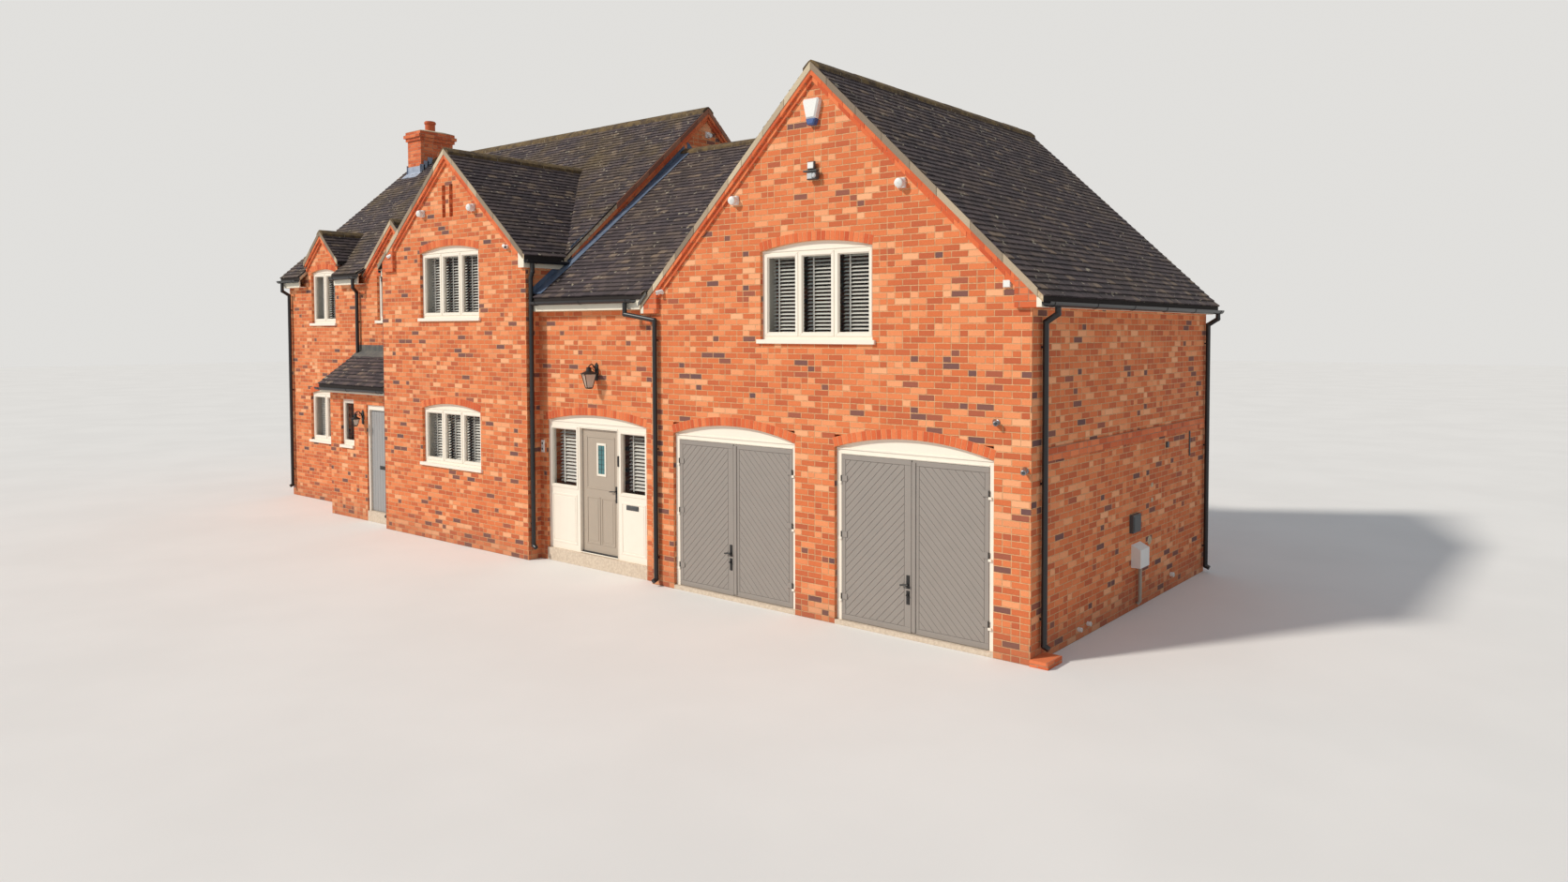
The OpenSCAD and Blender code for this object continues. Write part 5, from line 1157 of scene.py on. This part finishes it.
# weathered lead saddle at the left foot of the garage verge
for yb, rise_a, rise_b in ((0.10, 0.028, 0.033), (-0.083, -0.02, 0.030)):
    b.add([(x, y, z_on(GARAGE, x) + h) for h in (rise_a, rise_b) for x, y in quad(-6.283, -6.11, -0.088, yb)],
          loft(4, 2), 1)
run = [-15.88 + 0.29 * k for k in range(10)]
strip(b, [(x, 0.55, z_on(PORCH, 0.55) + 0.03 + 0.003 * math.sin(11 * x)) for x in run],
      (0, 0.152, 0.114), (0, 0, SHEET), 1)
strip(b, [(x, 0.701, PORCH.apex + 0.02) for x in run if x < BAY_LEFT], (0, 0, 0.13), (0, 0.0035, 0), 1)
for roof, half in ((GABLET_1, 0.76), (GABLET_2, 1.155)):
    for s in (-1, 1):
        u = roof.at + s * half
        if u > -13.3:
            continue
        ze = z_on(roof, u)
        b.box(u, u - s * 0.12, 0.66, 0.70, ze - 0.10, ze - 0.075, 1, 0.004)
# chimney apron and stepped soakers, just outside the stack
cx, cy = -18.41, MAIN.at
STACK_X, STACK_Y, STACK_TOP = 0.293, 0.418, 8.478
for s in (-1, 1):
    yy = cy + s * STACK_Y
    z = z_on(MAIN, yy)
    b.box(cx - 0.31, cx + 0.31, yy, yy + s * 0.006, z + 0.01, z + 0.17, 2, 0.002)
    strip(b, [(cx - 0.33, yy, z + 0.026), (cx + 0.33, yy, z + 0.026)], (0, s * 0.16, -MAIN.slope * 0.16),
          (0, 0, SHEET), 2)
    for e in (-1, 1):
        xx = cx + e * STACK_X
        for k in range(3):
            ya = cy + s * (0.12 + 0.1 * k)
            b.box(xx, xx + e * 0.005, ya, ya + s * 0.13, z_on(MAIN, ya + s * 0.1) - 0.02, z_on(MAIN, ya) + 0.12,
                  2, 0.001)
b.done("leadwork", [m_lead, m_lead_old, m_lead_pale], slot="roof_tile")

# Chimney: mortar flaunching and a metal cowl in the pot
b = Build()
pts = []
for hx, hy, h in ((0.31, 0.435, 0.0), (0.296, 0.42, 0.014), (0.20, 0.24, 0.05), (0.118, 0.118, 0.062)):
    pts += [(cx + u, cy + v, STACK_TOP + h) for u, v in quad(-hx, hx, -hy, hy)]
b.add(pts, loft(4, 4), 0)
b.turn([(0.085, 0.0), (0.088, 0.012), (0.06, 0.03), (0.06, 0.085)], (cx, cy, 8.655), 18, 1)
b.done("chimney_mortar", [m_mortar, m_steel], slot="terracotta", smooth=35)


# Gutter brackets: straps round half-round gutters
GUTTER_OUT, VERGE_GUTTER = 0.142, 0.042
b = Build()


def bracket(across, along, c, side, z):
    """A strap round a gutter whose back is at c."""
    n = 9
    pts = []
    for k in range(n):
        a = math.pi * k / (n - 1)
        for rr, e in ((0.058, -0.013), (0.058, 0.013), (0.0615, 0.013), (0.0615, -0.013)):
            q = c + side * (0.056 - rr * math.cos(a))
            h = z - rr * math.sin(a)
            pts.append((q, along + e, h) if across == "x" else (along + e, q, h))
    b.add(pts, loft(4, n))


def run_brackets(roof, a, z, face, side, top, out=GUTTER_OUT):
    """Brackets from a to z along a gutter that hangs out from a wall face under a roof."""
    height = top - 0.075 - roof.slope * out - 0.01
    n = max(2, round((z - a) / 0.9))
    for k in range(n):
        bracket(roof.across, a + 0.12 + (z - a - 0.24) * k / (n - 1), face + side * out, side, height)


main_top, bay_top = z_on(MAIN, MAIN_FRONT), z_on(BAY, HOUSE_RIGHT)
run_brackets(GARAGE, -0.06, 5.66, 0.0, 1, z_on(GARAGE, 0.0))
run_brackets(LINK, -8.77, -6.37, LINK_FRONT, -1, 4.33)
run_brackets(LINK, -8.8, -5.1, GARAGE_REAR, 1, z_on(LINK, GARAGE_REAR))
run_brackets(BAY, -0.2, 0.1, HOUSE_RIGHT, 1, bay_top, VERGE_GUTTER)
run_brackets(BAY, -0.14, 0.5, BAY_LEFT, -1, bay_top, VERGE_GUTTER)
run_brackets(MAIN, -18.95, -18.15, MAIN_FRONT, -1, main_top)
run_brackets(MAIN, -16.55, -15.62, MAIN_FRONT, -1, main_top)
run_brackets(MAIN, -18.95, -8.83, MAIN_REAR, 1, main_top)
run_brackets(PORCH, -15.87, -13.38, PORCH_FRONT, -1, z_on(PORCH, PORCH_FRONT))
b.done("gutter_brackets", [m_black], slot="black_rainwater", smooth=40)

# Small things by the doors and on the walls
b = Build()
f = wall("x", LINK_FRONT, -1)
b.rect(-8.835, -8.76, 1.72, 1.92, 0.0, 0.018, f, 0, 0.005)
for z in (1.865, 1.775):
    b.turn([(0.017, 0), (0.014, 0.006)], f(-8.80, z, 0.018), 12, 1, (0, -1, 0))
b.rect(-7.03, -6.985, 1.62, 1.78, 0.0, 0.016, es, 2, 0.005)
b.rect(-6.83, -6.56, 0.985, 1.055, 0.006, 0.016, es, 1, 0.005)
b.rect(-6.80, -6.59, 1.0, 1.04, 0.016, 0.021, es, 1, 0.003)
b.done("wall_plates", [m_white, m_dark, m_iron], slot="white_plastic")


# Floor, world, lights and camera
me = bpy.data.meshes.new("floor")
s = 120.0
me.from_pydata([(-s, -s, -0.002), (s, -s, -0.002), (s, s, -0.002), (-s, s, -0.002)], [], [[0, 1, 2, 3]])
floor = bpy.data.objects.new("floor", me)
bpy.context.scene.collection.objects.link(floor)
fm = Mat("floor", 0.9, 0.0, 0.1)
fm.colour(fm.mix(fm.step(fm.noise(0.4, 3.0), 0.3, 0.7), "edebe8", "e9e7e4"))
me.materials.append(fm.m)

# The world: its light, and a plain backdrop for camera, glossy and transmission rays
world = bpy.data.worlds.new("studio")
bpy.context.scene.world = world
world.use_nodes = True
wt = world.node_tree
bg = wt.nodes["Background"]
bg.inputs["Color"].default_value = (0.86, 0.92, 1.0, 1)
bg.inputs["Strength"].default_value = 0.42
bg2 = wt.nodes.new("ShaderNodeBackground")
bg2.inputs["Color"].default_value = (0.752, 0.742, 0.720, 1)
bg2.inputs["Strength"].default_value = 1.0
lp = wt.nodes.new("ShaderNodeLightPath")
mx = wt.nodes.new("ShaderNodeMixShader")
either, any_ray = wt.nodes.new("ShaderNodeMath"), wt.nodes.new("ShaderNodeMath")
either.operation = any_ray.operation = "MAXIMUM"
for out_, in_ in ((lp.outputs["Is Camera Ray"], either.inputs[0]), (lp.outputs["Is Glossy Ray"], either.inputs[1]),
                  (either.outputs[0], any_ray.inputs[0]), (lp.outputs["Is Transmission Ray"], any_ray.inputs[1]),
                  (any_ray.outputs[0], mx.inputs[0]), (bg.outputs[0], mx.inputs[1]), (bg2.outputs[0], mx.inputs[2]),
                  (mx.outputs[0], wt.nodes["World Output"].inputs[0])):
    wt.links.new(out_, in_)

sun = bpy.data.lights.new("sun", "SUN")
sun.energy = 2.75
sun.angle = math.radians(6)
sun.color = (1.0, 0.95, 0.87)
so = bpy.data.objects.new("sun", sun)
so.rotation_mode = "QUATERNION"
so.rotation_quaternion = Vector((0.62, 0.95, -0.85)).to_track_quat("-Z", "Y")
bpy.context.scene.collection.objects.link(so)

# The camera, fitted to the photo: focal length and centre in its pixels, two turns, and the place
PHOTO_W, PHOTO_H = 1672, 941
F, CX, CY = 1093.632, 920.906, 394.290
SENSOR = 36.0
yaw, pitch = 0.6455425, 0.0363238
cam = bpy.data.cameras.new("camera")
cam.sensor_width = SENSOR
cam.lens = F / PHOTO_W * SENSOR
cam.shift_x = (PHOTO_W / 2 - CX) / PHOTO_W
cam.shift_y = -(PHOTO_H / 2 - CY) / PHOTO_W
cam.clip_start, cam.clip_end = 0.1, 500
co = bpy.data.objects.new("camera", cam)
fwd = Vector((-math.sin(yaw) * math.cos(pitch), math.cos(yaw) * math.cos(pitch), -math.sin(pitch)))
co.location = (5.2146 + OX, -9.94864 + OY, 3.64788)
co.rotation_mode = "QUATERNION"
co.rotation_quaternion = fwd.to_track_quat("-Z", "Y")
bpy.context.scene.collection.objects.link(co)
bpy.context.scene.camera = co
bpy.context.scene.view_settings.view_transform = "Standard"
